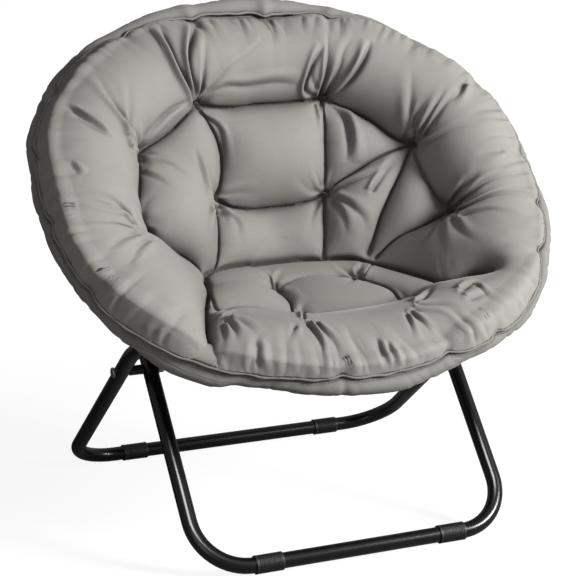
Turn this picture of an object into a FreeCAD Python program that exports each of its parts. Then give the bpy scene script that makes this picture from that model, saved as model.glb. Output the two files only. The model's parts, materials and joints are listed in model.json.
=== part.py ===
import FreeCAD, Part
import math
import os
from FreeCAD import Placement, Rotation, Vector

os.makedirs("parts", exist_ok=True)

# Folding saucer chair. X runs to the right as seen from the front, Y to the back, Z up from the floor.
# The model is drawn about the leg pivot's line, then moved so that the origin lies on the floor under
# the middle of the whole chair.

# Steel tube of the legs and the rim
tube_diameter = 22.0
tube_wall = 1.2
tube_radius = tube_diameter / 2
bore_radius = tube_radius - tube_wall

# Crossed legs: two U frames on one pivot line
pivot_height = 241.5
front_leg_width = 470.0
front_leg_lean = 42.6
rear_leg_lean = 52.3
leg_gap = 20.0
floor_bend_radius = 75.0
front_top_bend_radius = 110.0
rear_top_bend_radius = 150.0
rear_top_bend_distance = 60.0
front_leg_x = front_leg_width / 2
rear_leg_x = front_leg_x + tube_diameter + leg_gap

# Foot sleeves on the floor bars
foot_radius = 13.0
foot_flat = 0.5
foot_length = 40.0
foot_bore_clearance = 0.1
foot_rib_count = 14
foot_rib_pitch = 2.4
foot_rib_depth = 0.8
front_foot_gap = 0.0
rear_foot_gap = 13.0
bar_height = foot_radius - foot_flat

# Pivot hardware
pivot_bolt_diameter = 8.0
pivot_bolt_head_diameter = 15.0
pivot_bolt_head_height = 3.5
pivot_spacer_diameter = 14.0
pivot_nut_across_flats = 13.0
pivot_nut_height = 6.5
pivot_washer_diameter = 17.0
pivot_washer_thickness = 1.6
pivot_thread_beyond_nut = 2.0
running_clearance = 0.05
side_play = 0.3

# Workmanship shared by all bolts: how far cutting tools run past a tube, and the domed share of a head
hole_overrun = 2.0
head_dome_share = 0.6

# Rim: two arched halves hinged at the sides of the chair
rim_half_width = 371.0
rim_reach = 329.0
rim_side_radius = 215.0
rim_end_straight = 42.0
rim_hinge_back = 11.6
rim_hinge_above_pivot = 242.1
rear_rim_tilt = 47.1
front_rim_tilt = 43.0

# Rim hinges: flattened tube ends between two plates
tongue_thickness = 6.0
tongue_width = 14.0
tongue_in_tube = 16.0
tube_start = 36.0
hinge_plate_thickness = 2.5
hinge_plate_width = 22.0
tongue_gap = 16.7
hinge_play = 0.2
hinge_pin_diameter = 6.0
hinge_rivet_diameter = 5.0
hinge_rivet_reach = 29.0
hinge_head_diameter = 10.0
hinge_head_height = 2.2

# Saddles and bolts that join the leg tops to the rim
saddle_radius = 13.0
saddle_length = 15.0
saddle_spigot_length = 22.0
saddle_cheek_drop = 3.85
spigot_clearance = 0.1
open_pivot_clearance = 1.2
saddle_seat_clearance = 0.3
rim_bolt_diameter = 6.0
rim_bolt_head_diameter = 12.0
rim_bolt_head_height = 3.5

# Cushion and its cover
sleeve_radius = 21.0
sleeve_clearance = 0.3
sleeve_start = 40.0
notch_clearance = 1.5
back_depth = 165.0
seat_depth = 150.0
seat_blend_reach = 60.0
cushion_edge_rise = 18.0
cushion_edge_thickness = 30.0
cushion_under_depth = 215.0
cushion_top_inset = 9.0
cushion_side_inset = 21.5
cushion_bottom_inset = 23.0
cushion_side_draw = 8.5
cushion_end_inset = 25.0
crease_lift = 14.0
puff_crown = 28.0
seat_puff_crown = 14.0
seat_crease_lift = 6.0
channel_crown = 8.0
full_puff_length = 84.0
edge_seam_lift = 1.0
under_cover_thickness = 2.0
half_gap = 0.4
piping_radius = 3.0
piping_inset = 5.0
piping_height = 22.0
piping_end_gap = 2.0
tie_diameter = 3.0
tie_stub = 1.0

X_AXIS = Vector(1, 0, 0)
DOWN_TO_FLOOR = pivot_height - bar_height
front_direction = Vector(0, math.sin(math.radians(front_leg_lean)), math.cos(math.radians(front_leg_lean)))
rear_direction = Vector(0, -math.sin(math.radians(rear_leg_lean)), math.cos(math.radians(rear_leg_lean)))
front_leg_length = DOWN_TO_FLOOR / front_direction.z
rear_leg_length = DOWN_TO_FLOOR / rear_direction.z
pivot = Vector(0, 0, pivot_height)

# The rim's arch: a straight end, a side arc, then a flatter crown arc tangent to both side arcs
side_centre_x = rim_half_width - rim_side_radius
arch_rise = rim_reach - rim_end_straight
crown_excess = arch_rise - rim_side_radius
crown_drop = (side_centre_x**2 - crown_excess**2) / (2 * crown_excess)
crown_radius = arch_rise + crown_drop
crown_centre_reach = rim_end_straight - crown_drop
join_angle = math.atan2(crown_drop, side_centre_x)

# The cushion's roundness towards its edge, on the seat and underneath
seat_roundness = 1.8
under_edge_height = cushion_edge_rise - cushion_edge_thickness
under_roundness = 1.6

# Half the angle by which the two rim halves lean towards each other
split_slope = math.tan(math.radians((rear_rim_tilt - front_rim_tilt) / 2))

rim_centre = Vector(0, rim_hinge_back, pivot_height + rim_hinge_above_pivot)
REAR = Placement(rim_centre, Rotation(X_AXIS, rear_rim_tilt))
FRONT = Placement(rim_centre, Rotation(X_AXIS, front_rim_tilt)) * Placement(
    Vector(0, 0, 0), Rotation(Vector(0, 0, 1), 180)
)


def cylinder(radius, start, end):
    """A solid cylinder from one point to another."""
    axis = end - start
    return Part.makeCylinder(radius, axis.Length, start, axis)


def rounded_path(points, radii):
    """Straight runs through the points, with a tangent arc at each inner point."""
    edges = []
    start = points[0]
    for before, corner, after, radius in zip(points, points[1:], points[2:], radii):
        arriving = (corner - before).normalize()
        leaving = (after - corner).normalize()
        half_turn = arriving.getAngle(leaving) / 2
        trim = radius * math.tan(half_turn)
        inward = (leaving - arriving).normalize()
        arc_start = corner - arriving * trim
        arc_end = corner + leaving * trim
        arc_middle = corner + inward * (radius / math.cos(half_turn) - radius)
        edges.append(Part.LineSegment(start, arc_start).toShape())
        edges.append(Part.Arc(arc_start, arc_middle, arc_end).toShape())
        start = arc_end
    edges.append(Part.LineSegment(start, points[-1]).toShape())
    return Part.Wire(edges)


def sweep(path, start, heading, radius):
    """A round bar along a path."""
    profile = Part.Wire(Part.Circle(start, heading, radius).toShape())
    return path.makePipeShell([profile], True, False)


def tube(path, start, heading):
    """The steel tube along a path."""
    outer = sweep(path, start, heading, tube_radius)
    inner = sweep(path, start, heading, bore_radius)
    return outer.cut(inner)


def mirrored(shape):
    """The same piece on the other side of the chair."""
    return shape.mirror(Vector(0, 0, 0), X_AXIS)


def both_sides(shape):
    """A piece and its mirror image, as separate solids."""
    return Part.makeCompound([shape, mirrored(shape)])


def arch_reach(x, inset):
    """How far the arch, drawn in by inset, reaches from the hinge line at a distance x from the middle."""
    join_x = side_centre_x + (rim_side_radius - inset) * math.cos(join_angle)
    if abs(x) < join_x:
        return crown_centre_reach + math.sqrt((crown_radius - inset) ** 2 - x**2)
    return rim_end_straight + math.sqrt((rim_side_radius - inset) ** 2 - (abs(x) - side_centre_x) ** 2)


def arch_path(inset, height, start_reach):
    """The arch in a rim half's own frame: x across, y away from the hinge line, z above the rim's plane."""
    side_radius = rim_side_radius - inset

    def side_point(sign, angle):
        x = side_centre_x + side_radius * math.cos(angle)
        return Vector(sign * x, rim_end_straight + side_radius * math.sin(angle), height)

    crown = Vector(0, crown_centre_reach + crown_radius - inset, height)

    def side_arc(sign, first, last):
        middle = side_point(sign, join_angle / 2)
        return Part.Arc(side_point(sign, first), middle, side_point(sign, last))

    right_end = Vector(rim_half_width - inset, start_reach, height)
    left_end = Vector(inset - rim_half_width, start_reach, height)
    runs = [
        Part.LineSegment(right_end, side_point(1, 0)),
        side_arc(1, 0, join_angle),
        Part.Arc(side_point(1, join_angle), crown, side_point(-1, join_angle)),
        side_arc(-1, join_angle, 0),
        Part.LineSegment(side_point(-1, 0), left_end),
    ]
    return Part.Wire([run.toShape() for run in runs])


def along_arch(inset, height, start_reach, radius):
    """A round bar along the arch."""
    start = Vector(rim_half_width - inset, start_reach, height)
    return sweep(arch_path(inset, height, start_reach), start, Vector(0, 1, 0), radius)


def arch_tangent(x):
    """The direction of the crown arc at a distance x from the middle."""
    return Vector(arch_reach(x, 0) - crown_centre_reach, -x, 0).normalize()


def leg_bores(shape, leg_x):
    """The leg tube drilled for its two pivot bolts."""
    hole_radius = pivot_bolt_diameter / 2 + running_clearance
    reach = tube_radius + hole_overrun
    for sign in (-1, 1):
        middle = pivot + X_AXIS * (sign * leg_x)
        shape = shape.cut(cylinder(hole_radius, middle - X_AXIS * reach, middle + X_AXIS * reach))
    return shape


def line_meeting(point, direction, other_point, other_direction):
    """Where two lines meet in a plane of constant x, as a distance along the first line."""
    gap = other_point - point
    cross = direction.y * other_direction.z - direction.z * other_direction.y
    return (gap.y * other_direction.z - gap.z * other_direction.y) / cross


# Leg tops: where each leg meets the underside of its rim half
saddle_drop = tube_radius + saddle_length
front_top_local = Vector(front_leg_x, arch_reach(front_leg_x, 0), 0)
front_rim_point = REAR.multVec(front_top_local)
front_top_axis = REAR.Rotation.multVec(Vector(0, 0, -1))
front_top_end = front_rim_point + front_top_axis * saddle_drop
front_top_corner_distance = line_meeting(pivot, front_direction, front_rim_point, front_top_axis)

rear_top_local = Vector(rear_leg_x, arch_reach(rear_leg_x, 0), 0)
rear_rim_point = FRONT.multVec(Vector(-rear_leg_x, rear_top_local.y, 0))
rear_bend_point = pivot + X_AXIS * rear_leg_x + rear_direction * rear_top_bend_distance
rear_top_axis = (rear_bend_point - rear_rim_point).normalize()
rear_top_end = rear_rim_point + rear_top_axis * saddle_drop


def u_frame(leg_x, direction, leg_length, bend_point, bend_radius, top_end):
    """A leg frame: two bent legs joined by a floor bar."""
    floor_corner = pivot - direction * leg_length
    right = [top_end, bend_point, Vector(leg_x, floor_corner.y, floor_corner.z)]
    left = [Vector(-p.x, p.y, p.z) for p in reversed(right)]
    points = right + left
    radii = [bend_radius, floor_bend_radius, floor_bend_radius, bend_radius]
    return leg_bores(tube(rounded_path(points, radii), top_end, bend_point - top_end), leg_x)


def front_leg_frame():
    corner = pivot + X_AXIS * front_leg_x + front_direction * front_top_corner_distance
    return u_frame(
        front_leg_x, front_direction, front_leg_length, corner, front_top_bend_radius, front_top_end
    )


def rear_leg_frame():
    return u_frame(
        rear_leg_x, rear_direction, rear_leg_length, rear_bend_point, rear_top_bend_radius, rear_top_end
    )


def foot_sleeve(x, y):
    """A ribbed sleeve round a floor bar, cut flat where it stands on the floor."""
    ribs_length = foot_rib_count * foot_rib_pitch
    collar = (foot_length - ribs_length) / 2
    inner = tube_radius + foot_bore_clearance
    outline = [Vector(0, 0, inner), Vector(0, 0, foot_radius), Vector(collar, 0, foot_radius)]
    for rib in range(foot_rib_count):
        start = collar + rib * foot_rib_pitch
        outline.append(Vector(start + foot_rib_pitch / 4, 0, foot_radius - foot_rib_depth))
        outline.append(Vector(start + foot_rib_pitch / 2, 0, foot_radius - foot_rib_depth))
        outline.append(Vector(start + foot_rib_pitch, 0, foot_radius))
    outline.append(Vector(foot_length, 0, foot_radius))
    outline.append(Vector(foot_length, 0, inner))
    outline.append(outline[0])
    sleeve = Part.Face(Part.makePolygon(outline)).revolve(Vector(0, 0, 0), X_AXIS, 360)
    block = Part.makeBox(foot_length, 4 * foot_radius, foot_radius)
    block.translate(Vector(0, -2 * foot_radius, -foot_radius - bar_height))
    sleeve = sleeve.cut(block)
    sleeve.translate(Vector(x - foot_length / 2, y, bar_height))
    return sleeve


def pivot_bolt():
    """The bolt through both tubes, with a domed head outside and its thread inside."""
    head_face = rear_leg_x + tube_radius + side_play
    nut_face = front_leg_x - tube_radius - pivot_washer_thickness - pivot_nut_height
    shank = cylinder(
        pivot_bolt_diameter / 2,
        pivot + X_AXIS * head_face,
        pivot + X_AXIS * (nut_face - pivot_thread_beyond_nut),
    )
    head = cylinder(
        pivot_bolt_head_diameter / 2,
        pivot + X_AXIS * head_face,
        pivot + X_AXIS * (head_face + pivot_bolt_head_height),
    )
    head = head.makeFillet(pivot_bolt_head_height * head_dome_share, [head.Edges[0]])
    return shank.fuse(head)


def ring(outer_radius, inner_radius, start, end):
    """A round ring between two points on its axis."""
    return cylinder(outer_radius, start, end).cut(cylinder(inner_radius, start, end))


def pivot_spacer():
    start = pivot + X_AXIS * (front_leg_x + tube_radius)
    end = pivot + X_AXIS * (rear_leg_x - tube_radius - side_play)
    return ring(pivot_spacer_diameter / 2, pivot_bolt_diameter / 2 + running_clearance, start, end)


def pivot_washer():
    start = pivot + X_AXIS * (front_leg_x - tube_radius - pivot_washer_thickness)
    end = pivot + X_AXIS * (front_leg_x - tube_radius)
    return ring(pivot_washer_diameter / 2, pivot_bolt_diameter / 2 + running_clearance, start, end)


def pivot_nut():
    start = pivot + X_AXIS * (front_leg_x - tube_radius - pivot_washer_thickness - pivot_nut_height)
    corner_radius = pivot_nut_across_flats / math.sqrt(3)
    corners = []
    for side in range(7):
        angle = side * math.pi / 3
        corners.append(start + Vector(0, corner_radius * math.cos(angle), corner_radius * math.sin(angle)))
    nut = Part.Face(Part.makePolygon(corners)).extrude(X_AXIS * pivot_nut_height)
    bore = pivot_bolt_diameter / 2 + running_clearance
    return nut.cut(cylinder(bore, start, start + X_AXIS * pivot_nut_height))


def tongue(start_reach, round_end):
    """The flattened end of a rim tube at the right side, in the rim half's own frame."""
    face_x = rim_half_width - tongue_thickness / 2
    length = tube_start + tongue_in_tube - start_reach
    corner = Vector(face_x, start_reach, -tongue_width / 2)
    plate = Part.makeBox(tongue_thickness, length, tongue_width, corner)
    if round_end:
        hub = Vector(face_x, start_reach, 0)
        plate = plate.fuse(cylinder(tongue_width / 2, hub, hub + X_AXIS * tongue_thickness))
    return plate


def hinge_hole(reach, diameter):
    """A hole through the right-hand hinge, across the tube."""
    middle = Vector(rim_half_width, reach, 0)
    reach = X_AXIS * tube_radius
    return cylinder(diameter / 2 + running_clearance, middle - reach, middle + reach)


def rim_half(round_end, bolt_x, leg_reach):
    """A rim half with its flattened ends and the holes for the leg bolts, in its own frame."""
    start = Vector(rim_half_width, tube_start, 0)
    rim = tube(arch_path(0, 0, tube_start), start, Vector(0, 1, 0))
    plate = tongue(0 if round_end else tongue_width / 2 + tongue_gap, round_end)
    rim = rim.fuse([plate, mirrored(plate)])
    if round_end:
        hole = hinge_hole(0, hinge_pin_diameter)
    else:
        hole = hinge_hole(hinge_rivet_reach, hinge_rivet_diameter)
    rim = rim.cut([hole, mirrored(hole)])
    for sign in (-1, 1):
        middle = Vector(sign * bolt_x, leg_reach, 0)
        up = Vector(0, 0, tube_radius + hole_overrun)
        rim = rim.cut(cylinder(rim_bolt_diameter / 2 + running_clearance, middle - up, middle + up))
    return rim


def hinge_plate(offset):
    """A plate beside the tongues at the right, in the rear rim's own frame."""
    hub = Vector(rim_half_width + offset, 0, 0)
    corner = hub - Vector(0, 0, hinge_plate_width / 2)
    plate = Part.makeBox(hinge_plate_thickness, tube_start - hinge_play, hinge_plate_width, corner)
    plate = plate.fuse(cylinder(hinge_plate_width / 2, hub, hub + X_AXIS * hinge_plate_thickness))
    for reach, diameter in ((0, hinge_pin_diameter), (hinge_rivet_reach, hinge_rivet_diameter)):
        plate = plate.cut(hinge_hole(reach, diameter))
    return plate


def hinge_fastener(reach, diameter):
    """A pin or rivet through the right-hand hinge, with a head on each side."""
    head_face = tongue_thickness / 2 + hinge_play + hinge_plate_thickness
    middle = Vector(rim_half_width, reach, 0)
    solid = cylinder(diameter / 2, middle - X_AXIS * head_face, middle + X_AXIS * head_face)
    for sign in (-1, 1):
        face = middle + X_AXIS * (sign * head_face)
        head = cylinder(hinge_head_diameter / 2, face, face + X_AXIS * (sign * hinge_head_height))
        solid = solid.fuse(head)
    return solid


def saddle(rim_point, axis, tangent, clearance):
    """A saddle under the rim tube, with a spigot in the top of the leg tube."""
    end = rim_point + axis * saddle_drop
    body = cylinder(saddle_radius, rim_point, end)
    spigot = cylinder(bore_radius - spigot_clearance, end, end + axis * saddle_spigot_length)
    well_past = 3 * saddle_radius
    reach = tangent * well_past
    seat = cylinder(tube_radius + clearance, rim_point - reach, rim_point + reach)
    body = body.cut(seat)
    cheek_end = rim_point + axis * saddle_cheek_drop
    body = body.cut(Part.makeCylinder(well_past, well_past, cheek_end, axis * -1))
    bore = cylinder(rim_bolt_diameter / 2 + running_clearance, rim_point, end + axis * saddle_spigot_length)
    return body.fuse(spigot).cut(bore)


def rim_bolt(grip):
    """A bolt down through the rim tube, in a rim half's own frame, at the origin."""
    shank = cylinder(rim_bolt_diameter / 2, Vector(0, 0, tube_radius), Vector(0, 0, tube_radius - grip))
    head = cylinder(
        rim_bolt_head_diameter / 2,
        Vector(0, 0, tube_radius),
        Vector(0, 0, tube_radius + rim_bolt_head_height),
    )
    head = head.makeFillet(rim_bolt_head_height * head_dome_share, [head.Edges[0]])
    return shank.fuse(head)


def rim_sleeve(bolt_x, leg_reach, leg_axis):
    """The padded sleeve round a rim half, notched where the leg tops come in, in its own frame."""
    outer = along_arch(0, 0, sleeve_start, sleeve_radius)
    inner = along_arch(0, 0, sleeve_start, tube_radius + sleeve_clearance)
    sleeve = outer.cut(inner)
    for sign in (-1, 1):
        middle = Vector(sign * bolt_x, leg_reach, 0)
        below = middle + leg_axis * (2 * sleeve_radius)
        above = middle + Vector(0, 0, tube_radius + rim_bolt_head_height + notch_clearance)
        sleeve = sleeve.cut(cylinder(saddle_radius + notch_clearance, middle, below))
        sleeve = sleeve.cut(cylinder(rim_bolt_head_diameter / 2 + notch_clearance, middle, above))
    return sleeve


# Cushion columns across the chair: distance from the middle, how far the puffs crown there, and the
# reach of the tuft rows as shares of the arch, inner row first, on the seat and on the back
cushion_end = rim_half_width - cushion_end_inset
tuft_column_x = 104.0
side_column_x = 236.0
arm_width = cushion_end - side_column_x


def column(x, fullness, seat, back):
    return {"x": x, "fullness": fullness, "seat": seat, "back": back}


middle_column = column(0.0, 1.0, (0.31, 0.57), (0.17, 0.63))
tuft_column = column(tuft_column_x, 0.0, (0.30, 0.55), (0.17, 0.63))
side_column = column(side_column_x, 0.0, (0.14, 0.55), (0.20, 0.44))
columns = [
    middle_column,
    column(tuft_column_x / 2, 0.85, (0.31, 0.56), (0.17, 0.63)),
    tuft_column,
    column((tuft_column_x + side_column_x) / 2, 1.0, (0.24, 0.55), (0.20, 0.55)),
    side_column,
    column(side_column_x + arm_width * 0.445, 0.7, (0.15, 0.55), (0.20, 0.50)),
    column(side_column_x + arm_width * 0.782, 0.4, (0.20, 0.58), (0.23, 0.56)),
    column(cushion_end, 0.1, (0.25, 0.60), (0.25, 0.60)),
]


def radius_share(x, reach):
    """How far a point lies from the middle of the bowl, as a share of the way to its edge."""
    across = x / (rim_half_width - cushion_top_inset)
    along = reach / (rim_reach - cushion_side_inset)
    return min(1.0, math.hypot(across, along))


def bowl_height(x, reach, half):
    """The cushion's surface at a crease, above the rim's plane: a cone behind, rounder on the seat."""
    share = radius_share(x, reach)
    back = (back_depth + cushion_edge_rise) * share - back_depth
    if half == "back":
        return back
    seat = (seat_depth + cushion_edge_rise) * share**seat_roundness - seat_depth
    blend = min(1.0, reach / seat_blend_reach)
    return back + (seat - back) * blend


def under_height(x, reach):
    """The underside of the cushion, above the rim's plane."""
    share = radius_share(x, reach)
    return under_edge_height - cushion_under_depth * (1 - share**under_roundness)


def crowned(start, end, crown):
    """An arc from start to end that rises by crown above the straight line, in a plane of constant x."""
    chord = end - start
    rise = Vector(0, -chord.z, chord.y).normalize() * crown
    if rise.z < 0:
        rise = rise * -1
    return Part.Arc(start, (start + end) / 2 + rise, end).toShape()


def split_point(x, height):
    """A point where the two cushion halves meet."""
    return Vector(x, height * split_slope + half_gap / 2, height)


def lift_and_crown(column, half):
    """How far creases and puffs rise in a column: a little at its tufts, fully between them."""
    if half == "seat":
        lift, crown = seat_crease_lift, seat_puff_crown
    else:
        lift, crown = crease_lift, puff_crown
    arm = max(0.0, column["x"] - side_column_x) / arm_width
    lift += (crease_lift - lift) * arm
    crown += (puff_crown - crown) * arm
    fullness = column["fullness"]
    return lift * fullness, channel_crown + (crown - channel_crown) * fullness


def tuft_rows(column, half):
    """The creases along one column, from the hinge line outwards."""
    x = column["x"]
    lift = lift_and_crown(column, half)[0]
    rows = []
    for share in column[half]:
        reach = share * arch_reach(x, cushion_side_inset)
        rows.append(Vector(x, reach, bowl_height(x, reach, half) + lift))
    return rows


def under_arc(x, drop):
    """The underside along one column, from the hinge line to the edge."""
    edge = Vector(x, arch_reach(x, cushion_bottom_inset), under_edge_height - drop)
    middle_reach = edge.y / 2
    middle = Vector(x, middle_reach, under_height(x, middle_reach) - drop)
    inner = split_point(x, under_height(x, 0) - drop)
    return inner, middle, edge


def cushion_section(column, half):
    """One closed outline across a cushion half: crowned puffs above, drawn-in side, smooth underside."""
    x = column["x"]
    crease = split_point(x, bowl_height(x, 0, half) + crease_lift * column["fullness"])
    top_edge = Vector(x, arch_reach(x, cushion_top_inset), cushion_edge_rise + edge_seam_lift)
    top = [crease] + tuft_rows(column, half) + [top_edge]
    inner, middle, bottom_edge = under_arc(x, 0)
    crown = lift_and_crown(column, half)[1]
    edges = []
    for start, end in zip(top, top[1:]):
        fill = min(1.0, (end - start).Length / full_puff_length)
        edges.append(crowned(start, end, crown * fill))
    side = (top_edge + bottom_edge) / 2 - Vector(0, cushion_side_draw, 0)
    edges.append(Part.Arc(top_edge, side, bottom_edge).toShape())
    edges.append(Part.Arc(bottom_edge, middle, inner).toShape())
    edges.append(Part.LineSegment(inner, crease).toShape())
    return Part.Wire(edges)


def cover_section(column):
    """One closed outline of the fabric under a cushion half."""
    x = column["x"]
    inner, middle, edge = under_arc(x, 0)
    low_inner, low_middle, low_edge = under_arc(x, under_cover_thickness)
    return Part.Wire(
        [
            Part.Arc(inner, middle, edge).toShape(),
            Part.LineSegment(edge, low_edge).toShape(),
            Part.Arc(low_edge, low_middle, low_inner).toShape(),
            Part.LineSegment(low_inner, inner).toShape(),
        ]
    )


def loft_across(section_of):
    """A solid through the sections at every column, from the left edge to the right edge."""
    right = [section_of(column) for column in columns]
    left = [section.mirror(Vector(0, 0, 0), X_AXIS) for section in reversed(right[1:])]
    return Part.makeLoft(left + right, True, False)


def cushion_half(half):
    return loft_across(lambda column: cushion_section(column, half))


def under_cover():
    return loft_across(cover_section)


def tufts(half, places):
    """Thread ties through the cushion, from each tuft to the underside."""
    ties = []
    for column, row, sides in places:
        top = tuft_rows(column, half)[row]
        low = Vector(top.x, top.y, under_height(top.x, top.y) - under_cover_thickness - tie_stub)
        tie = cylinder(tie_diameter / 2, top + Vector(0, 0, tie_stub), low)
        ties.append(tie)
        if sides == "both":
            ties.append(mirrored(tie))
    return Part.makeCompound(ties)


def placed(shape, placement):
    """A copy of a shape, moved from a rim half's frame to the chair's."""
    moved = shape.copy()
    moved.Placement = placement.multiply(moved.Placement)
    return moved


nodes = {}

# Leg frames
nodes["front_leg_frame"] = front_leg_frame()
nodes["rear_leg_frame"] = rear_leg_frame()

# Foot sleeves
front_bar_y = -DOWN_TO_FLOOR * math.tan(math.radians(front_leg_lean))
rear_bar_y = DOWN_TO_FLOOR * math.tan(math.radians(rear_leg_lean))
floor_bars = (
    ("front", front_leg_x, front_foot_gap, front_bar_y),
    ("rear", rear_leg_x, rear_foot_gap, rear_bar_y),
)
for name, leg_x, gap, bar_y in floor_bars:
    foot_x = leg_x - floor_bend_radius - gap - foot_length / 2
    nodes[name + "_left_foot"] = foot_sleeve(-foot_x, bar_y)
    nodes[name + "_right_foot"] = foot_sleeve(foot_x, bar_y)

# Pivot hardware
nodes["pivot_bolts"] = both_sides(pivot_bolt())
nodes["pivot_spacers"] = both_sides(pivot_spacer())
nodes["pivot_washers"] = both_sides(pivot_washer())
nodes["pivot_nuts"] = both_sides(pivot_nut())

# Rim halves and their hinges
nodes["rear_rim"] = placed(rim_half(False, front_leg_x, front_top_local.y), REAR)
nodes["front_rim"] = placed(rim_half(True, rear_leg_x, rear_top_local.y), FRONT)
outer_offset = tongue_thickness / 2 + hinge_play
inner_offset = -outer_offset - hinge_plate_thickness
for name, offset in (("outer", outer_offset), ("inner", inner_offset)):
    plate = hinge_plate(offset)
    nodes["right_hinge_" + name + "_plate"] = placed(plate, REAR)
    nodes["left_hinge_" + name + "_plate"] = placed(mirrored(plate), REAR)
nodes["rim_hinge_pins"] = placed(both_sides(hinge_fastener(0, hinge_pin_diameter)), REAR)
nodes["rim_hinge_rivets"] = placed(both_sides(hinge_fastener(hinge_rivet_reach, hinge_rivet_diameter)), REAR)

# Saddles and bolts at the leg tops
front_tangent = REAR.Rotation.multVec(arch_tangent(front_leg_x))
rear_tangent = FRONT.Rotation.multVec(arch_tangent(-rear_leg_x))
front_saddle = saddle(front_rim_point, front_top_axis, front_tangent, saddle_seat_clearance)
rear_saddle = saddle(rear_rim_point, rear_top_axis, rear_tangent, open_pivot_clearance)
nodes["front_leg_saddles"] = both_sides(front_saddle)
nodes["rear_leg_saddles"] = both_sides(rear_saddle)
front_bolt = rim_bolt(tube_radius + saddle_drop)
front_bolt.translate(front_top_local)
nodes["front_leg_rim_bolts"] = placed(both_sides(front_bolt), REAR)
rear_bolt = rim_bolt(tube_diameter - tube_wall / 2)
rear_bolt.translate(rear_top_local)
nodes["rear_leg_rim_bolts"] = placed(both_sides(rear_bolt), FRONT)

# Cushion, cover and piping
rear_axis_local = FRONT.Rotation.inverted().multVec(rear_top_axis)
nodes["back_rim_sleeve"] = placed(rim_sleeve(front_leg_x, front_top_local.y, Vector(0, 0, -1)), REAR)
nodes["seat_rim_sleeve"] = placed(rim_sleeve(rear_leg_x, rear_top_local.y, rear_axis_local), FRONT)
nodes["back_cushion"] = placed(cushion_half("back"), REAR)
nodes["seat_cushion"] = placed(cushion_half("seat"), FRONT)
nodes["back_under_cover"] = placed(under_cover(), REAR)
nodes["seat_under_cover"] = placed(under_cover(), FRONT)
piping = along_arch(piping_inset, piping_height, piping_end_gap, piping_radius)
nodes["back_piping"] = placed(piping, REAR)
nodes["seat_piping"] = placed(piping, FRONT)
back_places = [(tuft_column, 0, "both"), (tuft_column, 1, "both"), (side_column, 1, "both")]
seat_places = [
    (middle_column, 1, "one"),
    (tuft_column, 0, "both"),
    (tuft_column, 1, "both"),
    (side_column, 0, "both"),
]
nodes["back_tufts"] = placed(tufts("back", back_places), REAR)
nodes["seat_tufts"] = placed(tufts("seat", seat_places), FRONT)

# Move the origin to the floor under the middle of the chair and write the parts
box = Part.makeCompound(list(nodes.values())).optimalBoundingBox(False)
origin_shift = Vector(0, -(box.YMin + box.YMax) / 2, 0)
for name, shape in nodes.items():
    moved = shape.copy()
    moved.translate(origin_shift)
    moved.exportStep("parts/" + name + ".step")
    if not moved.isValid() or min(solid.Volume for solid in moved.Solids) <= 0:
        print("check", name, moved.isValid(), [round(solid.Volume) for solid in moved.Solids])
print("box", box.XMin, box.XMax, box.YMin, box.YMax, box.ZMin, box.ZMax)
print("leg pivot", pivot + origin_shift, "rim hinge", rim_centre + origin_shift)
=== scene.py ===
import json
import logging
import math
from dataclasses import dataclass
from enum import Enum

import bmesh
import bpy
import numpy as np
from mathutils import Matrix, Vector


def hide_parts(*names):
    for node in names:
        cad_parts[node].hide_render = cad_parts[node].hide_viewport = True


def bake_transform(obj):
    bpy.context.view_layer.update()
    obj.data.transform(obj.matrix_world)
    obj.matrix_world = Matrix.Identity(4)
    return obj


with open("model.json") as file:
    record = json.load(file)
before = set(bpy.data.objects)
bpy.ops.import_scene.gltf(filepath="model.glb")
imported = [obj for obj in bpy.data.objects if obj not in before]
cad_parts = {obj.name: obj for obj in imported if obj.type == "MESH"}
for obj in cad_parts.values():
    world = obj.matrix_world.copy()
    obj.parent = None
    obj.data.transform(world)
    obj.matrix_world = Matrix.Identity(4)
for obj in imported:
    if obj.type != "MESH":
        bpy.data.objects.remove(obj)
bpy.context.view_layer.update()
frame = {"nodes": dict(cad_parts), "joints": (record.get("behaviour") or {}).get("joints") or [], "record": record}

log = logging.getLogger("saucer_chair")

Array = np.ndarray
Point = tuple[float, float]
Colour = tuple[float, float, float]
Place = tuple[float, float, float]


class Slot(Enum):
    """The finishes that the record names."""

    FRAME = "frame_black"
    PLASTIC = "black_plastic"
    STEEL = "bright_steel"
    CUSHION = "cushion_fabric"
    COVER = "cover_fabric"
    THREAD = "sewing_thread"


class Nodes:
    """Short-hand for building a node tree."""

    def __init__(self, tree: bpy.types.NodeTree) -> None:
        """Takes the tree to build in."""
        self.tree = tree

    def add(self, kind: str, **values: object) -> bpy.types.Node:
        """Adds one node.

        Args:
            kind: Blender's name of the node type.
            values: Socket values by socket name, with underscores for spaces; node settings in lower case.

        Returns:
            The new node.
        """
        node = self.tree.nodes.new(kind)
        for name, value in values.items():
            if name[0].islower():
                setattr(node, name, value)
                continue
            socket = node.inputs[name.replace("_", " ")]
            if isinstance(value, bpy.types.NodeSocket):
                self.tree.links.new(value, socket)
            else:
                socket.default_value = value
        return node

    def link(self, source: bpy.types.NodeSocket, target: bpy.types.NodeSocket) -> None:
        """Joins two sockets."""
        self.tree.links.new(source, target)


def empty_material(name: str) -> tuple[bpy.types.Material, Nodes]:
    """Makes a material with an empty node tree.

    Args:
        name: The material's name.

    Returns:
        The material and its node builder.
    """
    material = bpy.data.materials.new(name)
    material.use_nodes = True
    material.node_tree.nodes.clear()
    return material, Nodes(material.node_tree)


def finish_material(material: bpy.types.Material, nodes: Nodes, shader: bpy.types.Node) -> bpy.types.Material:
    """Joins a shader to the material's output.

    Args:
        material: The material.
        nodes: Its node builder.
        shader: The last shader node.

    Returns:
        The same material.
    """
    output = nodes.add("ShaderNodeOutputMaterial")
    nodes.link(shader.outputs[0], output.inputs["Surface"])
    return material


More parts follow.
